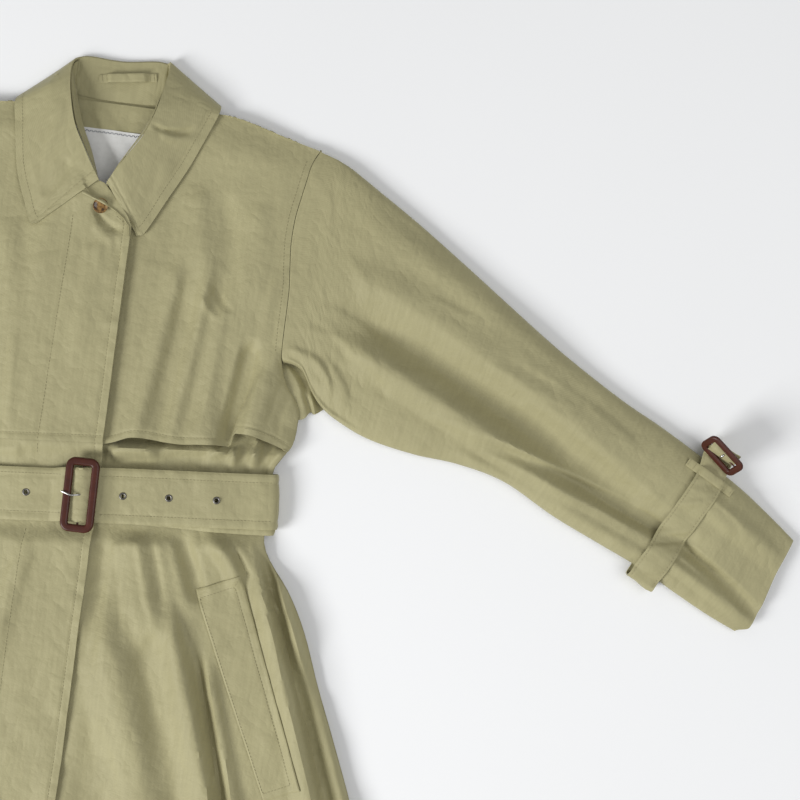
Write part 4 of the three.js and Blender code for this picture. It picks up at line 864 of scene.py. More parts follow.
def flap_top_right(x, y):
    above_hem = y - (FLAP_HEM_Y + BELT_SLOPE * x)
    lift = (1.0 + 1.2 * drift(x, y * 0.2, 40, 51)) * smooth(46, 2, above_hem)
    return (front_right_top(x, y) + right_detail(x, y) + LIE_GAP + WALL + np.maximum(0, lift)
            + pucker(above_hem, x, HEM_LINE, 9.0, 52, 0.75))


flap_right = cloth("storm_flap_right", np.dstack([flapr_x, flapr_y, flap_top_right(flapr_x, flapr_y)]),
                   "storm_flap_right", wall=1.0)

# %% [markdown]
# ## Sleeves
# A laid sleeve is a flattened tube: a full upper face, a flat underside and soft folded edges.
# Its head is sewn to the body along the armhole, and long folds run from there to the cuff.

# %% Sleeve tables: number, upper edge x and y, lower edge x and y, bow
SLEEVE_SECTIONS = [
    (0, 204, 356, 198, 149.5, -9.5), (0.35, 214, 352, 207, 150.5, -8), (0.6, 221, 348, 213, 144, -7),
    (1, 232, 343, 223, 127, -5), (1.4, 244, 336, 232, 116, -3), (2, 262, 325, 247, 105, 0),
    (3, 305, 298, 281, 90, 0), (4, 355, 264, 326, 81, 0), (5, 398, 234, 370, 77, 0),
    (6, 455, 195, 416, 66, 0), (7, 515, 159, 466, 40, 0), (8, 560, 136, 512, 20, 0),
    (9, 604, 111, 554, 2, 0), (10, 640, 89, 592, -18, 0), (11, 668, 69, 624, -34, 1),
    (12, 696, 47, 652, -46, 1)]
SLEEVE_EDGE_HEIGHT = 4.6
SLEEVE_PUFF = 13.0
STRAP_TOP = (612.5, 106.5)
STRAP_LOW = (553.5, -14.0)
STRAP_BAND = 40.0
STRAP_ROOM = 1.8
SEAM_X = 187.0
SLEEVE_END = 12
SLEEVE_TOP_ROLL = 34
SLEEVE_UNDER_ROLL = 6
SLEEVE_UV_STEP = 48

SLEEVE_FOLDS_LEFT = [
    (236, 184, 510, 40, 6, 30, 18, 11, -0.1), (214, 222, 644, 2, 8, 28, 20, -11, 0.1),
    (238, 250, 570, 70, 8, 24, 22, 7, -0.35), (350, 92, 606, -14, 3, 10, 14, 6),
    (378, 106, 612, 26, 3, 9, 13, -10, 0.2),
    (236, 296, 480, 170, 5, 24, 30, 3), (192, 166, 243, 116, 16, 6, 7, 4, 0.3),
    (190, 172, 262, 104, 18, 10, 12, 3, 0.3), (596, 78, 700, 14, 2, 14, 18, 5),
    (584, 32, 684, -38, 3, 8, 11, -9, 0.2), (566, 18, 676, -46, 2, 8, 10, 5)]
SLEEVE_FOLDS_RIGHT = [
    (-222, 244, -560, 70, -16, 20, 26, 8, 0.2), (-202, 200, -520, 52, -14, 16, 20, -7),
    (-290, 116, -636, -24, -9, 14, 18, 7, 0.2), (-420, 86, -664, -34, -3, 10, 14, -8),
    (-196, 154, -244, 108, -8, 8, 10, 6), (-606, 46, -674, 0, -3, 12, 15, 5)]
SLEEVE_CREASES_LEFT = [
    (204, 196, 262, 150, 9, 6, 8, -1.8, 0.4), (204, 168, 240, 140, 10, 5, 6, -2.4, 0.4),
    (200, 186, 252, 176, 4, 5, 7, 2.0, 0.4), (214, 210, 300, 166, 8, 8, 11, 1.4, 0.3),
    (246, 168, 300, 128, 5, 6, 9, -1.4, 0.3), (330, 118, 420, 92, 4, 6, 10, 1.8, -0.3),
    (380, 186, 500, 132, 5, 8, 12, -1.2, 0.3), (600, 76, 646, 44, 3, 6, 8, -1.8, 0.3),
    (636, 60, 690, 24, 2, 8, 10, 1.6, 0.2), (280, 300, 400, 236, 3, 9, 12, -1.0, 0.2),
    (240, 260, 270, 210, 4, 8, 10, 1.0), (206, 320, 212, 200, 3, 6, 8, -1.4),
    (214, 330, 222, 250, 2, 5, 7, 1.2, 0.3),
    (320, 232, 380, 214, -2, 5, 7, 1.0, 0.3), (410, 150, 470, 138, 3, 6, 8, -1.0, 0.3),
    (300, 160, 352, 150, 3, 6, 8, 1.0, 0.3), (480, 150, 540, 108, 3, 8, 10, 1.2, 0.2)]
SLEEVE_CREASES_RIGHT = [
    (-204, 196, -300, 122, -12, 6, 9, -2.2, 0.3), (-200, 176, -262, 128, -10, 4, 7, -2.4, 0.3),
    (-250, 168, -360, 118, -6, 6, 9, 1.8), (-360, 190, -520, 124, -6, 7, 12, -1.4),
    (-490, 66, -600, 12, -2, 6, 8, -2.2, 0.3), (-600, 72, -650, 28, -3, 6, 8, -1.6),
    (-286, 296, -430, 214, -3, 9, 12, -1.2)]
SLEEVE_FOLDS = {"left": SLEEVE_FOLDS_LEFT + SLEEVE_CREASES_LEFT,
                "right": SLEEVE_FOLDS_RIGHT + SLEEVE_CREASES_RIGHT}
SLEEVE_SEED = {"left": 61, "right": 66}
SLEEVE_RUN = (0.87, 0.5)


# %% Sleeves
def strap_lift(x, y):
    """Room under the sleeve for the strap's lower pass."""
    dx, dy = STRAP_TOP[0] - STRAP_LOW[0], STRAP_TOP[1] - STRAP_LOW[1]
    side = ((np.abs(x) - STRAP_LOW[0]) * dy - (y - STRAP_LOW[1]) * dx) / math.hypot(dx, dy)
    return STRAP_ROOM * smooth(STRAP_BAND + 12, STRAP_BAND, np.abs(side))


def sleeve_place(sign, t, s):
    """Place in plan, from the armhole (t = 0) to the cuff (12) and from lower (s = 0) to upper edge."""
    ux, uy, lx, ly, bow = (read_table(SLEEVE_SECTIONS, t, c) for c in range(1, 6))
    length = np.hypot(ux - lx, uy - ly)
    low_corner = 8.5 * smooth(0, 0.1, s) * smooth(0.8, 0.08, s)
    along = bow * 4 * s * (1 - s) + low_corner * smooth(10.4, SLEEVE_END, t)
    x = mix(lx, ux, s) + along * (uy - ly) / length
    y = mix(ly, uy, s) - along * (ux - lx) / length
    return sign * mix(x, side_line(y), smooth(0.6, 0, t)), y, length


def roll(from_edge, reach):
    """Share of the full height at a distance from a folded edge, rising as a quarter circle."""
    return np.sqrt(np.maximum(0, 1 - (1 - np.clip(from_edge / reach, 0, 1)) ** 2))


def sleeve_face(side, t, s, x, y, length):
    """Height of the upper face: rolled edges, folds, the hem's puckers and the lip at the armpit."""
    sign, seed = SIDES[side], SLEEVE_SEED[side]
    run_x, run_y = SLEEVE_RUN
    run, across = x * sign * run_x - y * run_y, x * sign * run_y + y * run_x
    shape = SLEEVE_PUFF + fold_height(SLEEVE_FOLDS[side], x, y)
    shape = shape + 1.0 * drift(run * 0.35, across, 34, seed)
    shape = shape + 0.45 * drift(run * 0.4, across, 15, seed + 1)
    rounded = shape * roll(np.minimum(s, 1 - s) * length, SLEEVE_TOP_ROLL)
    loft = np.maximum(0, rounded) * mix(1.0, 0.5, smooth(9.8, SLEEVE_END, t))
    hem = pucker((SLEEVE_END - t) * 34, s * length, 30.0, 7.0, seed + 2, 0.4) * smooth(10.2, 11.2, t)
    lip = 3.4 * np.exp(-((s * length - 2.8) / 2.5) ** 2) * smooth(0, 0.4, t) * smooth(3.4, 1.8, t)
    return SLEEVE_EDGE_HEIGHT + loft + hem + lip


def sewn_to_body(side, t, s, x, y, length, face):
    """The sleeve's head takes the height of the flap that it is sewn to, with a groove at the seam."""
    seam_x = SIDES[side] * np.minimum(np.abs(x), SEAM_X)
    flap = flap_top_left(seam_x, y) if side == "left" else flap_top_right(seam_x, y)
    sewn = np.maximum(SLEEVE_EDGE_HEIGHT, flap + 0.5)
    head = mix(face, sewn, smooth(2.2, 0, t) * smooth(0, 26, s * length))
    return head - 1.1 * np.exp(-((t * 26) / 2.0) ** 2)


def sleeve_grid(side, rows, top_count, under_count):
    """Points round the flattened tube, over its upper face and back under it, and their UVs."""
    t = np.concatenate([np.linspace(0, 0.3, 8), np.linspace(0.33, 11.7, rows),
                        np.linspace(11.74, SLEEVE_END, 8)])[:, None]
    over = np.linspace(0, 1, top_count)
    s_top = (0.5 - 0.5 * np.cos(math.pi * over)) * 0.6 + over * 0.4
    s = np.concatenate([s_top, np.linspace(1, 0, under_count + 2)[1:-1]])[None, :]
    x, y, length = sleeve_place(SIDES[side], t, s)
    face = sleeve_face(side, t, s, x, y, length)
    head = sewn_to_body(side, t, s, x, y, length, face)
    under = SLEEVE_EDGE_HEIGHT * (1 - roll(np.minimum(s, 1 - s) * length, SLEEVE_UNDER_ROLL))
    is_top = np.arange(s.shape[1])[None, :] < top_count
    z = strap_lift(x, y) + np.where(is_top, head, under)
    around = np.where(is_top, s * length, (2 - s) * length)
    along = t * SLEEVE_UV_STEP
    uv = np.dstack([np.broadcast_to(along, x.shape), around])
    uv = np.concatenate([uv, np.dstack([along, 2 * length[:, :1]])], axis=1)
    return np.dstack([x, y, z]), uv


sleeve_left_points, sleeve_left_uv = sleeve_grid("left", 200, 96, 26)
sleeve_left = cloth("sleeve_left", sleeve_left_points, "sleeve_left", wall=1.0, ring=True,
                    uv=sleeve_left_uv)
sleeve_right_points, sleeve_right_uv = sleeve_grid("right", 150, 74, 20)
sleeve_right = cloth("sleeve_right", sleeve_right_points, "sleeve_right", wall=1.0, ring=True,
                     uv=sleeve_right_uv)

# %% [markdown]
# ## Underarm
# Below the sleeve's edge a triangle of its underarm shows in the armpit. It lies in shade and is
# tucked into two soft lobes, so it is a small sheet of its own between the body and the sleeve.

# %% Underarm pieces: number, x and y at the body's edge and at the sleeve's
UNDERARM_BODY = [(0, 187, 150), (1, 194, 134), (2, 202, 120), (3, 207, 108), (4, 211, 98)]
UNDERARM_SLEEVE = [(0, 203, 153), (1, 217, 149), (2, 228, 136), (3, 236, 124), (4, 240, 115.5)]


def underarm_grid(sign):
    t, s = np.meshgrid(np.linspace(0, 4, 70), np.linspace(0, 1, 44), indexing="ij")
    body_x, body_y = (read_table(UNDERARM_BODY, t, c) for c in (1, 2))
    sleeve_x, sleeve_y = (read_table(UNDERARM_SLEEVE, t, c) for c in (1, 2))
    droop = smooth(2.4, 4, t) * (3.0 * np.sin(math.pi * s) - 4.5 * np.exp(-((s - 0.45) / 0.1) ** 2))
    x, y = mix(body_x, sleeve_x, s), mix(body_y, sleeve_y, s) - droop
    slit = np.exp(-((s - 0.46) / 0.07) ** 2) * smooth(1.4, 2.8, t)
    lobe = np.exp(-((s - 0.62) / 0.09) ** 2) * smooth(2.0, 2.9, t)
    facing = 5.4 * smooth(0.6, 0.4, s) * smooth(-0.2, 0.6, t)
    z = 1.4 + facing - 3.2 * slit + 5.0 * lobe + 0.4 * drift(x, y, 9, 69)
    return np.dstack([sign * x, y, np.maximum(1.1, z)])


for side, sign in SIDES.items():
    cloth(f"underarm_{side}", underarm_grid(sign), None, wall=0.9)

# %% [markdown]
# ## Inside of the neck
# Between the collar leaves the back's facing shows, with a plain woven label and a hanger loop.
# They are small sheets that lie on what is below them.

# %% Patches that lie on other cloth
def patch(x0, y0, width, height, cols, rows):
    """An upright rectangle of points."""
    u, v = np.meshgrid(np.linspace(0, 1, cols), np.linspace(0, 1, rows))
    return x0 + u * width, y0 + v * height


neck_floor = surface_of(back)
facing_x, facing_y = patch(-40, 288, 88, 86.5, 45, 45)
facing_z = (neck_floor(facing_x, facing_y) + 1.5 + 0.5 * drift(facing_x, facing_y, 24, 71)
            + fold_height([(-20, 372, 30, 300, 4, 10, 14, 1.6), (20, 372, -6, 310, 3, 8, 12, -0.8)],
                          facing_x, facing_y))
facing = cloth("back_neck_facing", np.dstack([facing_x, facing_y, facing_z]), "back_neck_facing",
               wall=0.8)

# %% Woven label
SATIN_SCALE = 314 / 0.9
ZIGZAG_PITCH = 3.28
ZIGZAG_STEP = 2.0
ZIGZAG_SWING = 1.3
LABEL_TOP_EDGE = [(-31, 346), (37, 346)]
LABEL_SIDE_EDGES = [[(-31, 346), (-31, 299)], [(37, 346), (37, 299)]]

label_x, label_y = patch(-34, 296, 74, 53, 50, 36)
label_z = surface_of(facing)(label_x, label_y) + 0.9 + 0.25 * drift(label_x, label_y, 12, 73)
label_height = blur(label_z, 3)


def satin_height(tree):
    """Ribs of the satin weave, 0.9 mm apart."""
    where = add_node(tree, "ShaderNodeTexCoord", {}).outputs["UV"]
    return add_node(tree, "ShaderNodeTexWave",
                    {"bands_direction": "Y", "Scale": SATIN_SCALE, "Distortion": 0.6},
                    {"Vector": where}).outputs["Fac"]


woven_label = new_material(
    "woven_satin_label", {"Roughness": 0.5, "Sheen Weight": 0.2},
    lambda tree: blend_colours(tree, noise(tree, None, 4.0), "#d9d9d6", "#e9e9e7"), satin_height,
    (0.25, 0.0001))
label = grid_mesh("neck_label", np.dstack([label_x, label_y, label_height]), np.dstack([label_x, label_y]))
thicken(label, 0.6)
dress(label, woven_label, "neck_label")


def zigzag(a, b):
    """Corners of a zigzag along a straight edge."""
    spots, _ = resample([a, b], ZIGZAG_STEP)
    direction = np.subtract(b, a) / np.linalg.norm(np.subtract(b, a))
    across = np.array([-direction[1], direction[0]])
    signs = np.where(np.arange(len(spots)) % 2, 1.0, -1.0)
    return spots + across * signs[:, None] * ZIGZAG_SWING


navy_thread = new_material("navy_thread", {"Roughness": 0.6}, mottled("#3d4152", "#54586a", 1.0))
label_edges = [zigzag(*edge) for edge in (LABEL_TOP_EDGE, *LABEL_SIDE_EDGES)]
stitches("label_zigzag", label_edges, surface_of(label), navy_thread, ZIGZAG_PITCH)

# %% [markdown]
# ## Collar
# The fall turns over at the roll and lies on the shoulders. The stand goes down from the roll to
# the neckline inside. Both are swept from numbered sections with their heights.

# %% Collar sections: number, roll x and y, edge x and y, four heights from roll to edge
COLLAR_SECTIONS = [
    (0, 8, 297, 41, 252, 27, 22, 18, 16), (1, 14, 307, 48, 256, 30, 24, 18, 16),
    (2, 25, 325, 62, 284, 31, 25, 18, 15), (3, 38, 347, 83, 326, 30, 26, 19, 14),
    (4, 46, 372, 99, 366, 28, 24, 19, 14), (5, 49.5, 400, 103, 379, 18, 18, 16, 12),
    (6, 50, 419, 102, 385, 9, 7, 5, 4.5), (7, 46, 419.5, 98, 383, 4.6, 1.2, 0.9, 0.9),
    (8, 34, 420, 62, 360, 4.4, 0.9, 0.9, 0.9), (9, 4, 416, 2, 356, 4.4, 0.9, 0.9, 0.9),
    (10, -26, 417, -56, 356, 4.4, 0.9, 0.9, 0.9), (11, -37, 415, -86, 370, 4.6, 1.2, 0.9, 0.9),
    (12, -42, 409, -90, 371, 10, 7, 5, 4.5), (13, -41, 393, -91, 362, 18, 19, 16, 12),
    (14, -36, 371, -87, 340, 24, 22, 18, 14), (15, -29, 348, -80, 300, 25, 22, 18, 15),
    (16, -18, 328, -68, 268, 25, 22, 19, 16), (17, -8, 311, -61, 252, 25, 22, 19, 17),
    (18, 0, 299, -55, 251, 25, 22, 19, 17)]
COLLAR_WALL = 1.6
COLLAR_LINE = 8.0
COLLAR_END = 18
COLLAR_FRONT_STEP = 11.0
COLLAR_UV_STEP = 24
STAND_UV_STEP = 22
STAND_UV_DEPTH = 36
COLLAR_CREASES = [
    (40, 358, 84, 362, -7, 3.5, 5, -2.6, 0.4), (50, 352, 92, 352, -5, 7, 9, 1.6, 0.3),
    (9, 299, 40, 258, -8, 11, 10, -4.0, 0.6), (62, 330, 52, 280, 3, 9, 12, 1.2),
    (-42, 372, -70, 290, 4, 9, 14, 1.4, 0.2), (-50, 356, -58, 290, -3, 6, 8, -1.2, 0.3),
    (-30, 316, -52, 276, 3, 8, 10, -1.6, 0.2), (-74, 352, -76, 290, 0, 8, 8, 0.8)]


def behind_neck(t):
    """1 where the collar lies flat behind the neck, by the number along it, and 0 on the leaves."""
    return smooth(6.6, 7.0, t) * smooth(11.4, 11.0, t)


def collar_points():
    """Collar from the roll (f = 0) to its outer edge (f = 1), row by row round the neck (t)."""
    t = np.concatenate([np.linspace(0, 0.5, 14), np.linspace(0.53, 17.5, 300),
                        np.linspace(17.53, COLLAR_END, 14)])
    f = spread(0.02, 3, 40, 0.2)
    rx, ry, ex, ey, *heights = (read_table(COLLAR_SECTIONS, t, c)[:, None] for c in range(1, 9))
    heights = np.hstack(heights)
    under = behind_neck(t)
    on_leaf, on_back = np.array([[0, 0.34, 0.68, 1]]), np.array([[0, 0.02, 0.5, 1]])
    knots = on_leaf * (1 - under[:, None]) + on_back * under[:, None]
    z = np.array([np.interp(f, knots[k], heights[k]) for k in range(len(t))])
    x, y = mix(rx, ex, f[None, :]), mix(ry, ey, f[None, :])
    return t[:, None], f[None, :], x, y, z, under[:, None], np.hypot(ex - rx, ey - ry)


collar_t, collar_f, collar_x, collar_y, collar_z, collar_under, collar_depth = collar_points()
bodice = surface_of(flap_left, flap_right, front_right)
below = bodice(collar_x, collar_y)
below = np.where(below < 2, 2, below)
from_end = np.minimum(collar_t, COLLAR_END - collar_t)
over_coat = (1 - collar_under) * smooth(5.6, 5.0, from_end)
rest = (blur(below, 6) + COLLAR_WALL + 0.7) * over_coat * smooth(0.02, 0.12, collar_f)
collar_z = blur(np.maximum(collar_z, rest), 8)
collar_z = np.maximum(collar_z, (below + COLLAR_WALL + 0.5) * over_coat * smooth(0.02, 0.12, collar_f))
from_outer = (1 - collar_f) * collar_depth
from_front = from_end * COLLAR_FRONT_STEP
from_edge = np.minimum(from_outer, np.maximum(from_front, 0))
collar_z = collar_z + over_coat * (
    pucker(from_edge, collar_t * 22, COLLAR_LINE, 6.0, 81, 0.16)
    + fold_height(COLLAR_CREASES, collar_x, collar_y) * smooth(0, 0.15, collar_f)
    + 0.5 * drift(collar_x, collar_y, 22, 83) * smooth(0, 0.2, collar_f))
collar_uv = np.dstack([np.broadcast_to(collar_t * COLLAR_UV_STEP, collar_x.shape), from_outer])
collar = cloth("collar_fall", np.dstack([collar_x, collar_y, collar_z]), "collar_fall", wall=COLLAR_WALL,
               uv=collar_uv, offset=-1.0)

# %% Collar stand: number, foot x, y and height
STAND_FEET = [
    (0, 8, 294, 16), (1, 12, 304, 15), (2, 20, 326, 14), (3, 32, 349, 13), (4, 43, 374, 10),
    (5, 48, 390, 6), (6, 48.5, 386, 4.6), (7, 47, 381, 3.2), (8, 33, 378, 3.1), (9, 2, 377, 3.1),
    (10, -24, 378, 3.1), (11, -37, 380, 3.2), (12, -38.5, 384, 4.6), (13, -37, 386, 7),
    (14, -32, 370, 10), (15, -24, 349, 13), (16, -13, 327, 15), (17, -6, 310, 17), (18, -1, 297, 19)]


def stand_points():
    """Stand from the neckline (f = 0) up to just inside the roll (f = 1)."""
    t = np.linspace(0, COLLAR_END, 260)[:, None]
    f = np.linspace(0, 1, 22)[None, :]
    fx, fy, fz = (read_table(STAND_FEET, t, c) for c in (1, 2, 3))
    rx, ry, rz = (read_table(COLLAR_SECTIONS, t, c) for c in (1, 2, 5))
    lying = behind_neck(t)
    turning = smooth(5.2, 6.0, t) * smooth(12.8, 12.0, t) * (1 - lying)
    share = 1 - mix(1.4, 3.0, turning) / np.hypot(rx - fx, ry - fy)
    tz = mix(rz - 1.8, 4.3, lying)
    x, y, z = mix(fx, mix(fx, rx, share), f), mix(fy, mix(fy, ry, share), f), mix(fz, tz, f)
    z = z + lying * (0.9 * np.sin(math.pi * f) + 0.3 * drift(x, y, 13, 85))
    uv = np.dstack([np.broadcast_to(t * STAND_UV_STEP, x.shape),
                    np.broadcast_to(f * STAND_UV_DEPTH, x.shape)])
    return np.dstack([x, y, z]), uv


stand_xyz, stand_uv = stand_points()
stand = cloth("collar_stand", stand_xyz, "collar_stand", wall=1.0, uv=stand_uv, offset=0.0)

# %% [markdown]
# ## Hanger loop and neck button
# The loop is a folded band, stitched down at both ends and a little slack between them. The
# button is turned resin in amber and brown. A shallow rim and a dished middle catch the light.

# %% Hanger loop
LOOP = dict(x=-16.0, y=396.0, length=54.0, climb=8.0, width=8.0, rise=3.2)


def ribbon_grid(spots, width, cols):
    """A flat band along a path of (x, y, z), with its points across the width."""
    spots = np.array(spots, float)
    tangent = np.gradient(spots[:, :2], axis=0)
    tangent /= np.linalg.norm(tangent, axis=1)[:, None]
    across = np.linspace(-width / 2, width / 2, cols)
    x = spots[:, 0, None] - tangent[:, 1, None] * across
    y = spots[:, 1, None] + tangent[:, 0, None] * across
    z = np.broadcast_to(spots[:, 2, None], x.shape)
    return np.dstack([x, y, z]), across


loop_f = np.linspace(0, 1, 60)
loop_x, loop_y = LOOP["x"] + loop_f * LOOP["length"], LOOP["y"] + loop_f * LOOP["climb"]
loop_base = surface_of(stand)(loop_x, loop_y)
loop_rise = LOOP["rise"] * np.minimum(smooth(0.1, 0.22, loop_f), smooth(0.9, 0.78, loop_f))
loop_z = loop_base.max() + 1.5 + loop_rise
loop_grid, loop_across = ribbon_grid(np.column_stack([loop_x, loop_y, loop_z]), LOOP["width"], 13)
loop_grid[..., 2] += 0.5 * drift(loop_grid[..., 0], loop_grid[..., 1], 7, 91) - 0.4 * (loop_across / 4) ** 4
hanger = cloth("hanger_loop", loop_grid, "hanger_loop", wall=1.0)


# %% Button
def turned_piece(name, rings, place, segments=40):
    """A round piece built up from a cylinder by extruding its top face ring by ring (radius, rise)."""
    bpy.ops.object.select_all(action="DESELECT")
    first_radius, first_rise = rings[0]
    bpy.ops.mesh.primitive_cylinder_add(vertices=segments, radius=first_radius * MM, depth=first_rise * MM,
                                        location=(0, 0, first_rise * MM / 2))
    piece = bpy.context.object
    piece.name = name
    pick_no_elements("FACE")
    top = max(piece.data.polygons, key=lambda p: p.normal.z * 10 + p.center.z)
    top.select = True
    bpy.ops.object.mode_set(mode="EDIT")
    radius = first_radius
    for new_radius, rise in rings[1:]:
        bpy.ops.mesh.extrude_region_move(TRANSFORM_OT_translate={"value": (0, 0, rise * MM)})
        bpy.ops.transform.resize(value=(new_radius / radius, new_radius / radius, 1))
        radius = new_radius
    bpy.ops.object.mode_set(mode="OBJECT")
    bpy.ops.object.shade_smooth_by_angle(angle=math.radians(40))
    piece.location = Vector(place) * MM
    bpy.ops.object.transform_apply(location=True, rotation=True, scale=True)
    return piece


def tortoise_colour(tree):
    flecks = noise(tree, None, 4.5, 3.0, "Object")
    sharp = add_node(tree, "ShaderNodeMapRange", {"From Min": 0.42, "From Max": 0.6}, {"Value": flecks})
    return blend_colours(tree, sharp.outputs[0], "#3d2812", "#9a7640")


BUTTON_RINGS = [(6.2, 0.5), (7.1, 0.5), (7.2, 0.5), (6.8, 0.5), (5.8, 0.2), (5.0, -0.6), (1.2, -0.1)]
BUTTON_PLACE = (4.6, 274.8)

tortoise = new_material("tortoise_resin", {"Roughness": 0.18, "Coat Weight": 0.5, "IOR": 1.55},
                        tortoise_colour)
button_low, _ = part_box("neck_button")
button = turned_piece("neck_button", BUTTON_RINGS, (*BUTTON_PLACE, button_low.z / MM))
dress(button, tortoise, "neck_button")

# %% Fly facing, the corner of cloth over the button
FLY_FACING = np.array([
    [[-14, 284], [-12, 292], [-9, 301]], [[0, 279.5], [3, 288], [5, 297]],
    [[9, 276], [11, 282], [13, 289]], [[18, 272], [20, 276], [22, 279]], [[27, 266], [29, 267], [31, 268]],
    [[33, 259], [34.2, 260], [35.2, 260]], [[34.4, 250], [35, 250.6], [35.6, 251]]], float)


def finer_grid(coarse, rows, cols):
    """Straight steps between the given points, first down the rows and then across the columns."""
    count, width, _ = coarse.shape
    v, u = np.linspace(0, count - 1, rows), np.linspace(0, width - 1, cols)
    by_row = np.stack([[np.interp(v, range(count), coarse[:, j, k]) for j in range(width)]
                       for k in range(2)], -1).transpose(1, 0, 2)
    return np.stack([[np.interp(u, range(width), row[:, k]) for row in by_row] for k in range(2)], -1)


FLY_COLUMNS = 20
FLY_LOWEST = 19.0

fly_xy = finer_grid(FLY_FACING, 60, FLY_COLUMNS)
fly_under = surface_of(front_right, flap_right, button)(fly_xy[..., 0], fly_xy[..., 1])
fly_under = blur(np.maximum(fly_under, FLY_LOWEST), 8)
fly_lip = 1.3 * np.exp(-((np.arange(FLY_COLUMNS)[None, :] - 1.5) / 1.6) ** 2)
cloth("fly_facing", np.dstack([fly_xy, fly_under + 1.5 + fly_lip]), "fly_facing", wall=0.9)

# %% [markdown]
# ## Welt pockets
# Each pocket is a slanted welt, set in and stitched round. It follows the folds of the skirt.

# %% Welt pockets
WELT_WALL = 1.6
WELT_LINE = 8.5
WELT = dict(x=138.5, y=-73.5, across=(41.5, 20.0), down=(90.5, -189.0), taper=0.2)


def welt_place(sign, u, v):
    """Place on a welt, across (u) and down (v). It narrows a little towards its foot."""
    narrow = u * (1 - WELT["taper"] * v)
    return (sign * (WELT["x"] + narrow * WELT["across"][0] + v * WELT["down"][0]),
            WELT["y"] + narrow * WELT["across"][1] + v * WELT["down"][1])


def make_welt(side):
    u, v = np.meshgrid(np.linspace(0, 1, 34), np.linspace(0, 1, 130))
    x, y = welt_place(SIDES[side], u, v)
    top = front_top("left", x, y) if side == "left" else front_right_top(x, y) + right_detail(x, y)
    width, height = math.hypot(*WELT["across"]), math.hypot(*WELT["down"])
    from_side = np.minimum(np.minimum(u, 1 - u) * width, np.minimum(v, 1 - v) * height)
    from_lines = np.minimum((1 - u) * width, v * height)
    rim = 1.0 * smooth(0, 1.6, from_side)
    lift = rim + pucker(from_lines, u * width + v * height, WELT_LINE, 5.0, 95, 0.4)
    points = np.dstack([x, y, blur(top, 3) + WELT_WALL + lift])
    return cloth(f"pocket_welt_{side}", points, f"pocket_welt_{side}", wall=WELT_WALL)


welts = {side: make_welt(side) for side in SIDES}

# %% [markdown]
# ## Belt
# The belt is one long band: looped round the buckle's pin, under its own tail, round the back and
# through the buckle. A row of stitching near each edge pulls small puckers into it.

# %% Belt path, along the belt (s) and up (z)
BELT_WIDTH = 52.0
BELT_TILT = math.atan(BELT_SLOPE)
BELT_SIDE_S = 203.3
BUCKLE_S = 21.0
TAIL_END_S = 178.0
EYELET_PLACES = [-32.0, 60.0, 103.5, 149.0]
HOLE_RADIUS = 2.2
OVER_LOWER_PASS = 12.0
BELT_LINES = 7.8
BAND_STEP = 2.2
BAND_EDGE = 3
BAND_SLIDE = 3.6


def belt_to_coat(s, w):
    """From the belt's own length and width to the coat's x and y."""
    turn, rise = math.cos(BELT_TILT), math.sin(BELT_TILT)
    return s * turn - w * rise, BELT_MIDDLE_Y + s * rise + w * turn


belt_cad = surface_of(nodes["belt"])
cloth_below = surface_of(front_left, front_right)


def belt_level(s_values):
    """Height of the belt's middle over the cloth, softened along the belt."""
    s = np.array(s_values, float)[:, None]
    w = np.linspace(-24, 24, 9)[None, :]
    x, y = belt_to_coat(s, w)
    on_solid = belt_cad(*belt_to_coat(s[:, 0], 0.0 * s[:, 0]))
    return soften(np.maximum(cloth_below(x, y).max(1) + 1.9, on_solid - 3.0), 6)


_, buckle_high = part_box("belt_buckle")
BUCKLE_Z = buckle_high.z / MM - 2.25
left_s = np.arange(-196.0, -4.0, 4.0)
right_s = np.arange(42.0, 197.0, 4.0)
left_z = belt_level(left_s)
right_z = belt_level(right_s)
under_drop = 1.5 * smooth(50, 190, right_s)
loop_angles = np.radians(np.linspace(50, 268, 9))
pin_z = BUCKLE_Z - 3.5
PIN_LOOP = 2.5
right_end_z, left_end_z = right_z[-1], left_z[0]
outer_side_s = BELT_SIDE_S + 2.3

round_the_pin = [(BUCKLE_S + PIN_LOOP * math.cos(a), pin_z + PIN_LOOP * math.sin(a), 0)
                 for a in loop_angles]
round_the_pin += [(BUCKLE_S + 8, pin_z - 2.7, 0), (BUCKLE_S + 14, pin_z - 2.6, 0)]
under_the_tail = list(zip(right_s[1:], right_z[1:], under_drop[1:]))
down_left_side = [(201, right_end_z - 0.8, 1.5), (BELT_SIDE_S, right_end_z - 3, 1.4), (BELT_SIDE_S, 6.0, 1),
                  (201.4, 3.5, 0.6), (197, 3.2, 0.3), (174, 3.2, 0), (150, 1.1, 0)]
round_the_back = [(s, 1.1, 0) for s in np.arange(120, -190, -30)] + [(-196, 1.1, 0)]
up_right_side = [(-201.9, 1.9, 0), (-BELT_SIDE_S, 3.6, 0), (-BELT_SIDE_S, left_end_z - 2.6, 0),
                 (-201.6, left_end_z - 0.7, 0)]
to_the_buckle = [(s, z, 0.45) for s, z in zip(left_s, left_z)]
through_buckle = [(BUCKLE_S + ds, BUCKLE_Z + dz, 0) for ds, dz in
                  ((-15, -3.5), (-8, -3.2), (-3, -0.6), (2.5, -0.5), (8, -3.0), (15, -3.5))]
tail = [(s, z + 2.5, 0) for s, z in zip(right_s[1:], right_z[1:])]
tail_turned_under = [(202.4, right_end_z + 1.4, 0), (outer_side_s, right_end_z - 1.2, 0),
                     (outer_side_s, 3.4, 0), (204, 1.5, 0), (200, 1.1, 0), (TAIL_END_S, 1.1, 0)]
belt_path = np.array(round_the_pin + under_the_tail + down_left_side + round_the_back + up_right_side
                     + to_the_buckle + through_buckle + tail + tail_turned_under)
print("belt path points", len(belt_path))


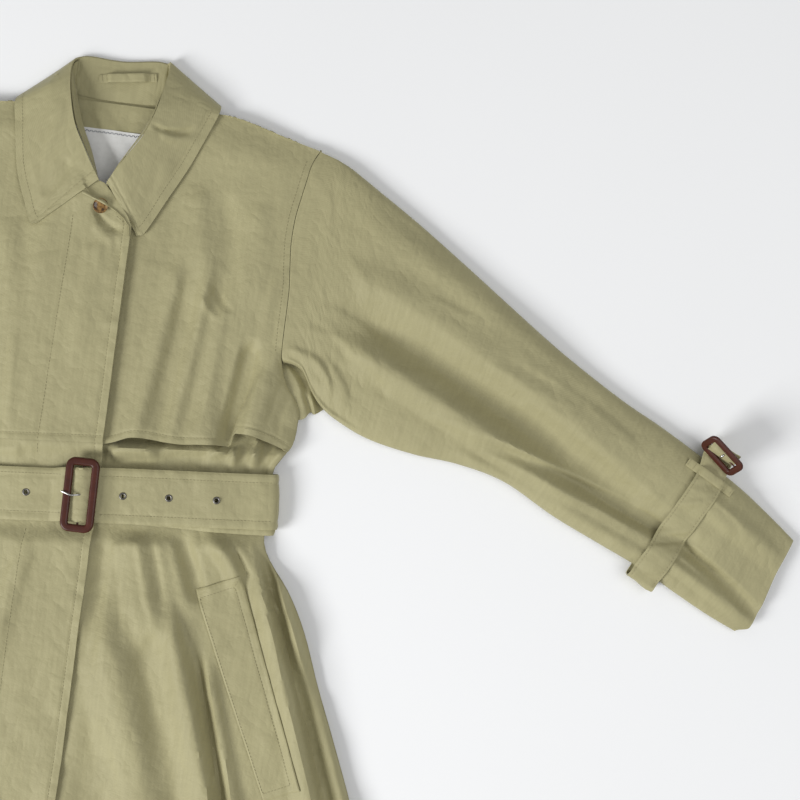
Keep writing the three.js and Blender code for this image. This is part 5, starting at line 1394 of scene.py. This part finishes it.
def band(path, width, columns, wave_at):
    """Grid of a strap along a path of (s, z, drop). wave_at(along, across) lifts it off its path."""
    spots, along = resample(path, BAND_STEP)
    edge = width / 2
    across = np.concatenate([np.linspace(-edge, -edge + BAND_EDGE, 4)[:-1],
                             np.linspace(-edge + BAND_EDGE, edge - BAND_EDGE, columns),
                             np.linspace(edge - BAND_EDGE, edge, 4)[1:]])
    tangent = np.gradient(spots[:, :2], axis=0)
    tangent /= np.linalg.norm(tangent, axis=1)[:, None]
    wave = wave_at(along[:, None], across[None, :])
    s = spots[:, 0, None] - tangent[:, 1, None] * wave
    z = spots[:, 1, None] + tangent[:, 0, None] * wave
    w = np.broadcast_to(across, s.shape) - spots[:, 2, None] * BAND_SLIDE
    uv = np.dstack([np.broadcast_to(along[:, None], s.shape), np.broadcast_to(across, s.shape)])
    return s, w, z, uv


def belt_wave(along, across):
    from_edge = BELT_WIDTH / 2 - np.abs(across)
    wave = pucker(from_edge, along, BELT_LINES, 5.0, 101, 0.75) + 0.6 * drift(along * 0.5, across, 16, 103)
    wave = wave + 0.35 * drift(along, across, 8, 105)
    return wave - 0.9 * smooth(2.5, 0, from_edge)


belt_s, belt_w, belt_z, belt_uv = band(belt_path, BELT_WIDTH, 27, belt_wave)
belt_w = belt_w * mix(0.96, 1.0, smooth(-20, 60, belt_s))
belt_x, belt_y = belt_to_coat(belt_s, belt_w)
belt = grid_mesh("belt", np.dstack([belt_x, belt_y, belt_z]), belt_uv)
select_only(belt)
pick_no_elements("FACE")
eyelet_spots = [Vector((*belt_to_coat(s, 0.0), 0.0)) * MM for s in EYELET_PLACES]
for face in belt.data.polygons:
    in_hole = any((face.center.xy - spot.xy).length < HOLE_RADIUS * MM for spot in eyelet_spots)
    face.select = in_hole and face.center.z > OVER_LOWER_PASS * MM
bpy.ops.object.mode_set(mode="EDIT")
bpy.ops.mesh.delete(type="FACE")
bpy.ops.object.mode_set(mode="OBJECT")
thicken(belt, 1.6, 0.0)
dress(belt, gabardine, "belt")
print("belt", len(belt.data.polygons), "faces, area", round(shown_area(belt), 4))

# %% [markdown]
# ## Leather buckles
# The buckles are metal frames covered in dark red-brown leather. A rounded block is inset and
# opened to a frame, then bevelled all round so that its bars are half round and catch a highlight.

# %% Leather, steel and the buckle frames
def leather_colour(tree):
    tone = noise(tree, None, 9.0, 3.0, "Object")
    return blend_colours(tree, tone, "#32120a", "#542414")


vegetable_leather = new_material(
    "polished_cover_leather",
    {"Roughness": 0.4, "Specular IOR Level": 0.35, "Coat Weight": 0.1, "Coat Roughness": 0.3},
    leather_colour, lambda tree: noise(tree, None, 0.7, 3.0, "Object"), (0.35, 0.00012))
leather_thread = new_material("brown_waxed_thread", {"Roughness": 0.5}, mottled("#2b130c", "#3f2016", 1.0))
nickel = new_material("nickel_plate", {"Metallic": 1.0, "Roughness": 0.24},
                      mottled("#b9b8b4", "#dddcd8", 2.0))
gunmetal = new_material("aged_eyelet_steel", {"Metallic": 1.0, "Roughness": 0.38},
                        mottled("#5d5a55", "#8e8b86", 1.2))


def buckle_frame(name, width, height, bar, thick, corner):
    """A block with rounded corners, inset above and below, opened between and bevelled all round."""
    bpy.ops.object.select_all(action="DESELECT")
    bpy.ops.mesh.primitive_cube_add(size=1)
    piece = bpy.context.object
    piece.name = name
    piece.scale = (width * MM, height * MM, thick * MM)
    bpy.ops.object.transform_apply(location=True, rotation=True, scale=True)
    pick_no_elements("EDGE")
    points = piece.data.vertices
    for edge in piece.data.edges:
        a, b = (points[v].co for v in edge.vertices)
        edge.select = abs(a.z - b.z) > thick * MM / 2
    bpy.ops.object.mode_set(mode="EDIT")
    bpy.ops.mesh.bevel(offset=corner * MM, segments=7, affect="EDGES")
    pick_no_elements("FACE")
    for face in piece.data.polygons:
        face.select = abs(face.normal.z) > 0.9
    bpy.ops.object.mode_set(mode="EDIT")
    bpy.ops.mesh.inset(thickness=bar * MM)
    bpy.ops.mesh.bridge_edge_loops()
    bpy.ops.object.mode_set(mode="OBJECT")
    rounding = piece.modifiers.new("rounding", "BEVEL")
    rounding.width = min(bar, thick) * 0.48 * MM
    rounding.segments = 5
    rounding.limit_method = "ANGLE"
    rounding.angle_limit = math.radians(50)
    bpy.ops.object.modifier_apply(modifier="rounding")
    bpy.ops.object.shade_smooth_by_angle(angle=math.radians(60))
    return piece


def place_piece(piece, matrix):
    select_only(piece)
    piece.matrix_world = matrix
    bpy.ops.object.transform_apply(location=True, rotation=True, scale=True)
    return piece


def rounded_path(width, height, corner, inset):
    """Closed path of (x, y) inside a rounded rectangle, at a distance from its edge."""
    w, h, r = width / 2 - inset, height / 2 - inset, max(corner - inset, 1.0)
    path = []
    for cx, cy, start in ((w - r, h - r, 0), (r - w, h - r, 90), (r - w, r - h, 180), (w - r, r - h, 270)):
        for step in range(7):
            angle = math.radians(start + step * 15)
            path.append((cx + r * math.cos(angle), cy + r * math.sin(angle)))
    return path + path[:1]


BELT_BUCKLE = dict(width=32.0, height=70.5, bar=7.5, thick=4.5, corner=9.0)
CUFF_BUCKLE = dict(width=25.0, height=42.5, bar=6.5, thick=3.6, corner=7.0)
LEATHER_STITCH_IN = 2.1
LEATHER_STITCH_SUNK = 0.28
LEATHER_STITCH_PITCH = 2.4


def make_buckle(name, size, matrix, node):
    frame_piece = place_piece(buckle_frame(name, **size), matrix)
    dress(frame_piece, vegetable_leather, node)
    level = size["thick"] / 2 - LEATHER_STITCH_SUNK
    path = rounded_path(size["width"], size["height"], size["corner"], LEATHER_STITCH_IN)
    thread = stitches(f"{name}_stitches", [[(x, y, level) for x, y in path]], None,
                      leather_thread, LEATHER_STITCH_PITCH)
    place_piece(thread, matrix)
    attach(thread, "root")


BUCKLE_TURN = BELT_TILT - math.radians(4.0)
belt_matrix = (Matrix.Translation(Vector((*belt_to_coat(BUCKLE_S, 0.0), BUCKLE_Z)) * MM)
               @ Matrix.Rotation(BUCKLE_TURN, 4, "Z"))
make_buckle("belt_buckle", BELT_BUCKLE, belt_matrix, "belt_buckle")


# %% Prongs and pins
def wire(name, path, radius, matrix, node, material=None):
    """A bent wire: a circle extruded along its path by a curve with a round bevel, made a mesh."""
    data = bpy.data.curves.new(name, "CURVE")
    data.dimensions = "3D"
    data.bevel_depth = radius * MM
    data.bevel_resolution = 4
    data.use_fill_caps = True
    spline = data.splines.new("BEZIER")
    spline.bezier_points.add(len(path) - 1)
    for point, place in zip(spline.bezier_points, path):
        point.co = Vector(place) * MM
        point.handle_left_type = point.handle_right_type = "AUTO"
    piece = bpy.data.objects.new(name, data)
    bpy.context.scene.collection.objects.link(piece)
    select_only(piece)
    bpy.ops.object.convert(target="MESH")
    bpy.ops.object.shade_smooth_by_angle(angle=math.radians(50))
    place_piece(piece, matrix)
    return dress(piece, material or nickel, node)


BELT_PRONG = [(1.2, 0.2, -1.4), (-3.0, -0.2, 1.9), (-8.0, -0.8, 3.2), (-12.5, 0.6, 3.35), (-17.0, 2.0, 2.7)]
BELT_PIN = [(0, -31, -3.5), (0, 31, -3.5)]
wire("belt_prong", BELT_PRONG, 0.95, belt_matrix, "belt_prong")
wire("belt_buckle_pin", BELT_PIN, 1.1, belt_matrix, None, vegetable_leather)

# %% Eyelets
belt_surface = surface_of(belt)
EYELET_RADIUS = 2.75
EYELET_WIRE_RADIUS = 0.85
EYELET_FLATTENING = 0.6
EYELET_RIM = 3.4


def make_eyelet(number, s):
    bpy.ops.object.select_all(action="DESELECT")
    bpy.ops.mesh.primitive_torus_add(major_radius=EYELET_RADIUS * MM, minor_radius=EYELET_WIRE_RADIUS * MM,
                                     major_segments=28, minor_segments=10)
    piece = bpy.context.object
    piece.name = f"belt_eyelet_{number}"
    piece.scale = (1, 1, EYELET_FLATTENING)
    bpy.ops.object.transform_apply(location=True, rotation=True, scale=True)
    bpy.ops.object.shade_smooth()
    x, y = belt_to_coat(s, 0.0)
    turn = np.linspace(0, 2 * math.pi, 9)
    ring_x, ring_y = belt_to_coat(s + EYELET_RIM * np.cos(turn), EYELET_RIM * np.sin(turn))
    top = float(np.median(belt_surface(ring_x, ring_y)))
    place_piece(piece, Matrix.Translation(Vector((x, y, top + 0.25)) * MM))
    dress(piece, gunmetal, f"belt_eyelet_{number}")


for number, s in enumerate(EYELET_PLACES, 1):
    make_eyelet(number, s)

# %% [markdown]
# ## Cuff straps
# A narrow strap goes round each cuff, through a small carrier and on to its own buckle, which
# stands half on its side above the sleeve's edge. The strap is wrinkled and edge-stitched.

# %% Cuff straps
STRAP_WIDTH = 28.0
STRAP_LINES = 2.4
CUFF_TILT = math.radians(54)
CUFF_TWIST = math.radians(14)
STRAP_CENTRE_OUT = 10.5
STRAP_SWAY = -1.4
STRAP_END = 3.0
STRAP_UNDER = 178.0
STRAP_SEED = {"left": 111, "right": 117}
CUFF_PRONG = [(2.4, 0, -1.8), (1.6, 0, 0.4), (0.0, 0, 1.1), (-2.2, 0, 0.6)]
CUFF_PIN = [(0, -16, -2.2), (0, 16, -2.2)]
sleeves = {"left": sleeve_left, "right": sleeve_right}
CARRIER = dict(x0=584.0, y0=108.5, x1=629.0, y1=84.0, width=8.5)


def strap_frame(sign):
    """Matrix of the strap: X runs across the sleeve from its lower to its upper edge."""
    dx, dy = STRAP_TOP[0] - STRAP_LOW[0], STRAP_TOP[1] - STRAP_LOW[1]
    turn = Matrix.Rotation(math.atan2(dy, sign * dx), 4, "Z")
    foot = Matrix.Translation(Vector((sign * STRAP_LOW[0], STRAP_LOW[1], 0)) * MM)
    return foot @ turn, math.hypot(dx, dy)


def to_coat(matrix, s, w, z):
    """Points of the strap's own frame, in millimetres, moved to the coat's."""
    flat = np.stack([np.broadcast_to(v, z.shape).ravel() for v in (s, w, z)], -1)
    m = np.array(matrix)
    moved = flat @ m[:3, :3].T + m[:3, 3] / MM
    return moved.reshape(*z.shape, 3)


def strap_wave(seed):
    """Wrinkles of a strap, on its upper pass only."""
    def wave(along, across):
        from_edge = STRAP_WIDTH / 2 - np.abs(across)
        ripple = pucker(from_edge, along, STRAP_LINES, 3.0, seed, 0.3)
        ripple = ripple + 1.0 * drift(along, across * 0.6, 13, seed + 2)
        ripple = ripple + 3.0 * np.maximum(0, drift(along + across * 0.8, across * 0.3, 9.0, seed + 3))
        return ripple * smooth(STRAP_UNDER, STRAP_UNDER + 12, along) - 0.6 * smooth(2, 0, from_edge)
    return wave


def strap_level(side, matrix, s_values):
    """Height of the strap's upper pass over the sleeve, softened along it but never below."""
    sleeve_top = surface_of(sleeves[side])
    w = np.linspace(-12, 12, 5)[None, :]
    below = to_coat(matrix, s_values[:, None], w, np.zeros((len(s_values), 5)))
    on_sleeve = sleeve_top(below[..., 0], below[..., 1]).max(1) + 1.7
    level = np.maximum(np.maximum(on_sleeve, np.roll(on_sleeve, -1)), np.roll(on_sleeve, 1))
    return np.maximum(soften(level, 3), on_sleeve)


def strap_path(centre, width, s_values, level):
    """Round the buckle's pin, under the sleeve, over it and through the buckle to the free end."""
    def tilt(x, z):
        return (centre[0] + x * math.cos(CUFF_TILT) - z * math.sin(CUFF_TILT),
                centre[1] + x * math.sin(CUFF_TILT) + z * math.cos(CUFF_TILT), STRAP_SWAY)

    loop_angles = np.radians(np.linspace(50, 268, 8))
    round_pin = [tilt(1.9 * math.cos(a), -2.2 + 1.9 * math.sin(a)) for a in loop_angles]
    down = [(width + 15, 8, STRAP_SWAY), (width + 14, 3, -1), (width + 10, 1, 0), (width + 6, 0.8, 0)]
    under = [(s, 0.8, 0) for s in np.arange(width - 8, STRAP_END + 8, -16)]
    up = [(STRAP_END + 2.5, 0.8, 0), (STRAP_END + 0.4, 2.0, 0), (STRAP_END, 4.5, 0),
          (STRAP_END + 0.3, level[0] - 2.0, 0), (STRAP_END + 2.0, level[0] - 0.4, 0)]
    over = [(s, z, 0) for s, z in zip(s_values, level)]
    through = [tilt(-13.5, -2.9), tilt(-6.6, -2.9), tilt(-2.0, -0.4), tilt(2.0, -0.4), tilt(6.0, -2.9),
               tilt(9.5, -3.0)]
    return round_pin + down + under + up + over + through


def cuff_fittings(side, matrix, centre):
    """Buckle, prong and pin of a cuff, turned and tilted on the end of its strap."""
    sign = SIDES[side]
    sway = -sign * STRAP_SWAY * BAND_SLIDE
    buckle_matrix = (matrix @ Matrix.Translation(Vector((centre[0], sway, centre[1])) * MM)
                     @ Matrix.Rotation(-sign * CUFF_TWIST, 4, "Z") @ Matrix.Rotation(-CUFF_TILT, 4, "Y"))
    make_buckle(f"cuff_buckle_{side}", CUFF_BUCKLE, buckle_matrix, f"cuff_buckle_{side}")
    wire(f"cuff_prong_{side}", CUFF_PRONG, 1.2, buckle_matrix, f"cuff_prong_{side}")
    wire(f"cuff_buckle_pin_{side}", CUFF_PIN, 0.85, buckle_matrix, None, vegetable_leather)


def make_strap(side):
    matrix, width = strap_frame(SIDES[side])
    s_values = np.arange(STRAP_END + 6.0, width - 9.0, 3.0)
    level = strap_level(side, matrix, s_values)
    cuff_low, cuff_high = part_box(f"cuff_buckle_{side}")
    centre = (width + STRAP_CENTRE_OUT, (cuff_low.z + cuff_high.z) / 2 / MM + 0.6)
    path = strap_path(centre, width, s_values, level)
    s, w, z, uv = band(path, STRAP_WIDTH, 13, strap_wave(STRAP_SEED[side]))
    strap = cloth(f"cuff_strap_{side}", to_coat(matrix, s, w * SIDES[side], z), f"cuff_strap_{side}",
                  wall=1.2, uv=uv, offset=0.0)
    cuff_fittings(side, matrix, centre)
    return strap


straps = {side: make_strap(side) for side in SIDES}


def carrier_place(side, f):
    """Place at a share of a carrier's length."""
    return SIDES[side] * mix(CARRIER["x0"], CARRIER["x1"], f), mix(CARRIER["y0"], CARRIER["y1"], f)


def make_carrier(side):
    f = np.linspace(0, 1, 46)
    spots = np.column_stack([*carrier_place(side, f), 0 * f])
    grid, across = ribbon_grid(spots, CARRIER["width"], 11)
    below_carrier = surface_of(straps[side], sleeves[side])
    height = soften(blur(below_carrier(grid[..., 0], grid[..., 1]), 6).max(1), 3)
    grid[..., 2] = height[:, None] + 1.5 - 0.5 * (np.abs(across) / 4.2) ** 4
    return cloth(f"cuff_carrier_{side}", grid, f"cuff_carrier_{side}", wall=1.0)


carriers = {side: make_carrier(side) for side in SIDES}

# %% [markdown]
# ## Topstitching on the finished cloth
# Stitches come last, because each thread drops onto the finished face. They run 7.5 mm inside
# the fly edge, 6.5 mm inside the flap hems, 8 mm inside the collar's edge and near both edges of the belt.

# %% Stitch lines
def offset_rows(x, y, distance, rows=slice(None)):
    """The line of a grid's points at a distance from its first column."""
    line = []
    for px, py in zip(x[rows], y[rows]):
        along = np.concatenate([[0], np.cumsum(np.hypot(np.diff(px), np.diff(py)))])
        line.append((np.interp(distance, along, px), np.interp(distance, along, py)))
    return line


def offset_columns(x, y, distance, columns=slice(None)):
    """The same at a distance from its first row."""
    return offset_rows(x.T, y.T, distance, columns)


right_surface, left_surface = surface_of(front_right, flap_right), surface_of(front_left, flap_left)
fly_edge_line = offset_rows(right_x, right_y, FLY_LINE, slice(0, -36))
clear_of_belt = [p for p in fly_edge_line if not -31 < p[1] - BELT_SLOPE * p[0] < 31]
below_belt = [p for p in clear_of_belt if p[1] < 0]
above_belt = [p for p in clear_of_belt if p[1] > 0]
fly_inner = [(float(read_table(FLY_STITCH, y)), y) for y in np.arange(-630, 270, 6.0)]
fly_low = [p for p in fly_inner if p[1] < -32]
fly_high = [p for p in fly_inner if p[1] > 30]
stitches("fly_stitches", [below_belt, above_belt, fly_low, fly_high], right_surface)
flap_hem_right = offset_columns(flapr_x, flapr_y, HEM_LINE, slice(2, -2))
flap_hem_left = offset_columns(flap_x, flap_y, HEM_LINE, slice(8, -2))
stitches("flap_hem_stitches_right", [flap_hem_right], right_surface)
stitches("flap_hem_stitches_left", [flap_hem_left], left_surface)


def collar_lines(distance):
    """Stitch lines inside the outer edge of each collar leaf, as far as it lies on the coat."""
    lines = []
    for on_leaf in (collar_t[:, 0] < 5.6, collar_t[:, 0] > 12.4):
        rows = np.flatnonzero(on_leaf & (from_front[:, 0] > distance * 0.9))
        lines.append([(np.interp(distance, from_outer[k, ::-1], collar_x[k, ::-1]),
                       np.interp(distance, from_outer[k, ::-1], collar_y[k, ::-1])) for k in rows])
    return lines


def last_edge_line(distance):
    """Stitch line inside the front edge of the right leaf, where the collar's numbers end."""
    right_leaf = collar_t[:, 0] > 9
    k = int(np.argmin(np.where(right_leaf, np.abs(from_front[:, 0] - distance), np.inf)))
    keep = from_outer[k] > distance
    return list(zip(collar_x[k][keep], collar_y[k][keep]))


stitches("collar_stitches", [*collar_lines(COLLAR_LINE), last_edge_line(COLLAR_LINE)], surface_of(collar))


def belt_lines():
    lines = []
    for w in (BELT_WIDTH / 2 - BELT_LINES, BELT_LINES - BELT_WIDTH / 2):
        lines.append([belt_to_coat(s, w) for s in np.arange(-199, 3, 3.0)])
        lines.append([belt_to_coat(s, w) for s in np.arange(39, 203, 3.0)])
    return lines


stitches("belt_stitches", belt_lines(), belt_surface)


def welt_lines(sign):
    inner = [(0.04, 0.041), (0.81, 0.041), (0.78, 0.965)]
    outer = [(0.78, 0.965), (0.045, 0.965), (0.045, 0.041)]
    mitre = [(0.82, 0.036), (0.97, 0.008)]
    return [[welt_place(sign, u, v) for u, v in line] for line in (inner, outer, mitre)]


stitches("welt_stitches_left", welt_lines(1.0), surface_of(welts["left"]))
stitches("welt_stitches_right", welt_lines(-1.0), surface_of(welts["right"]))


def strap_lines(side):
    matrix, width = strap_frame(SIDES[side])
    lines = []
    for w in (-STRAP_WIDTH / 2 + STRAP_LINES, STRAP_WIDTH / 2 - STRAP_LINES):
        s = np.arange(STRAP_END + 1.5, width - 4, 4.0)
        spots = to_coat(matrix, s, np.full_like(s, w), np.zeros_like(s))
        lines.append([(p[0], p[1]) for p in spots])
    return lines


def carrier_lines(side):
    """Two short rows of stitches across each end of a carrier."""
    dx, dy = SIDES[side] * (CARRIER["x1"] - CARRIER["x0"]), CARRIER["y1"] - CARRIER["y0"]
    length = math.hypot(dx, dy)
    lines = []
    for f in (0.03, 0.15, 0.85, 0.97):
        x, y = carrier_place(side, f)
        lines.append([(x - dy / length * k, y + dx / length * k) for k in (-3.4, 3.4)])
    return lines


SHORT_PITCH = 2.6
ARMHOLE_LINE = 6.0

for side in SIDES:
    stitches(f"cuff_strap_stitches_{side}", strap_lines(side), surface_of(straps[side]))
    stitches(f"carrier_stitches_{side}", carrier_lines(side), surface_of(carriers[side]), pitch=SHORT_PITCH)


def armhole_line(sign):
    y = np.arange(160.0, 346.0, 4.0)
    return [(sign * (float(side_line(v)) - EDGE_INSET - ARMHOLE_LINE), v) for v in y]


stitches("armhole_stitches_left", [armhole_line(1.0)], left_surface)
stitches("armhole_stitches_right", [armhole_line(-1.0)], right_surface)
loop_lines = [[(LOOP["x"] + f * LOOP["length"] + 1.2, LOOP["y"] + f * LOOP["climb"] - 3.2),
               (LOOP["x"] + f * LOOP["length"] - 0.3, LOOP["y"] + f * LOOP["climb"] + 3.2)]
              for f in (0.05, 0.13, 0.87, 0.95)]
stitches("hanger_loop_stitches", loop_lines, surface_of(hanger), pitch=SHORT_PITCH)

# %% [markdown]
# ## The surface that the coat lies on
# The photograph's ground is an even, pale board. A large matt plane just under the coat does that
# and takes its soft shadow. It is only part of the stage, and not of the coat.

# %% Floor
FLOOR_SIZE = 9.0
FLOOR_PLACE = (0.3, 0.1, -0.0006)

bpy.ops.mesh.primitive_plane_add(size=FLOOR_SIZE, location=FLOOR_PLACE)
floor = bpy.context.object
floor.name = "floor"
floor.data.materials.append(new_material("matt_white_board", {"Roughness": 0.85},
                                         mottled("#f0f1f2", "#f4f5f6", 400)))
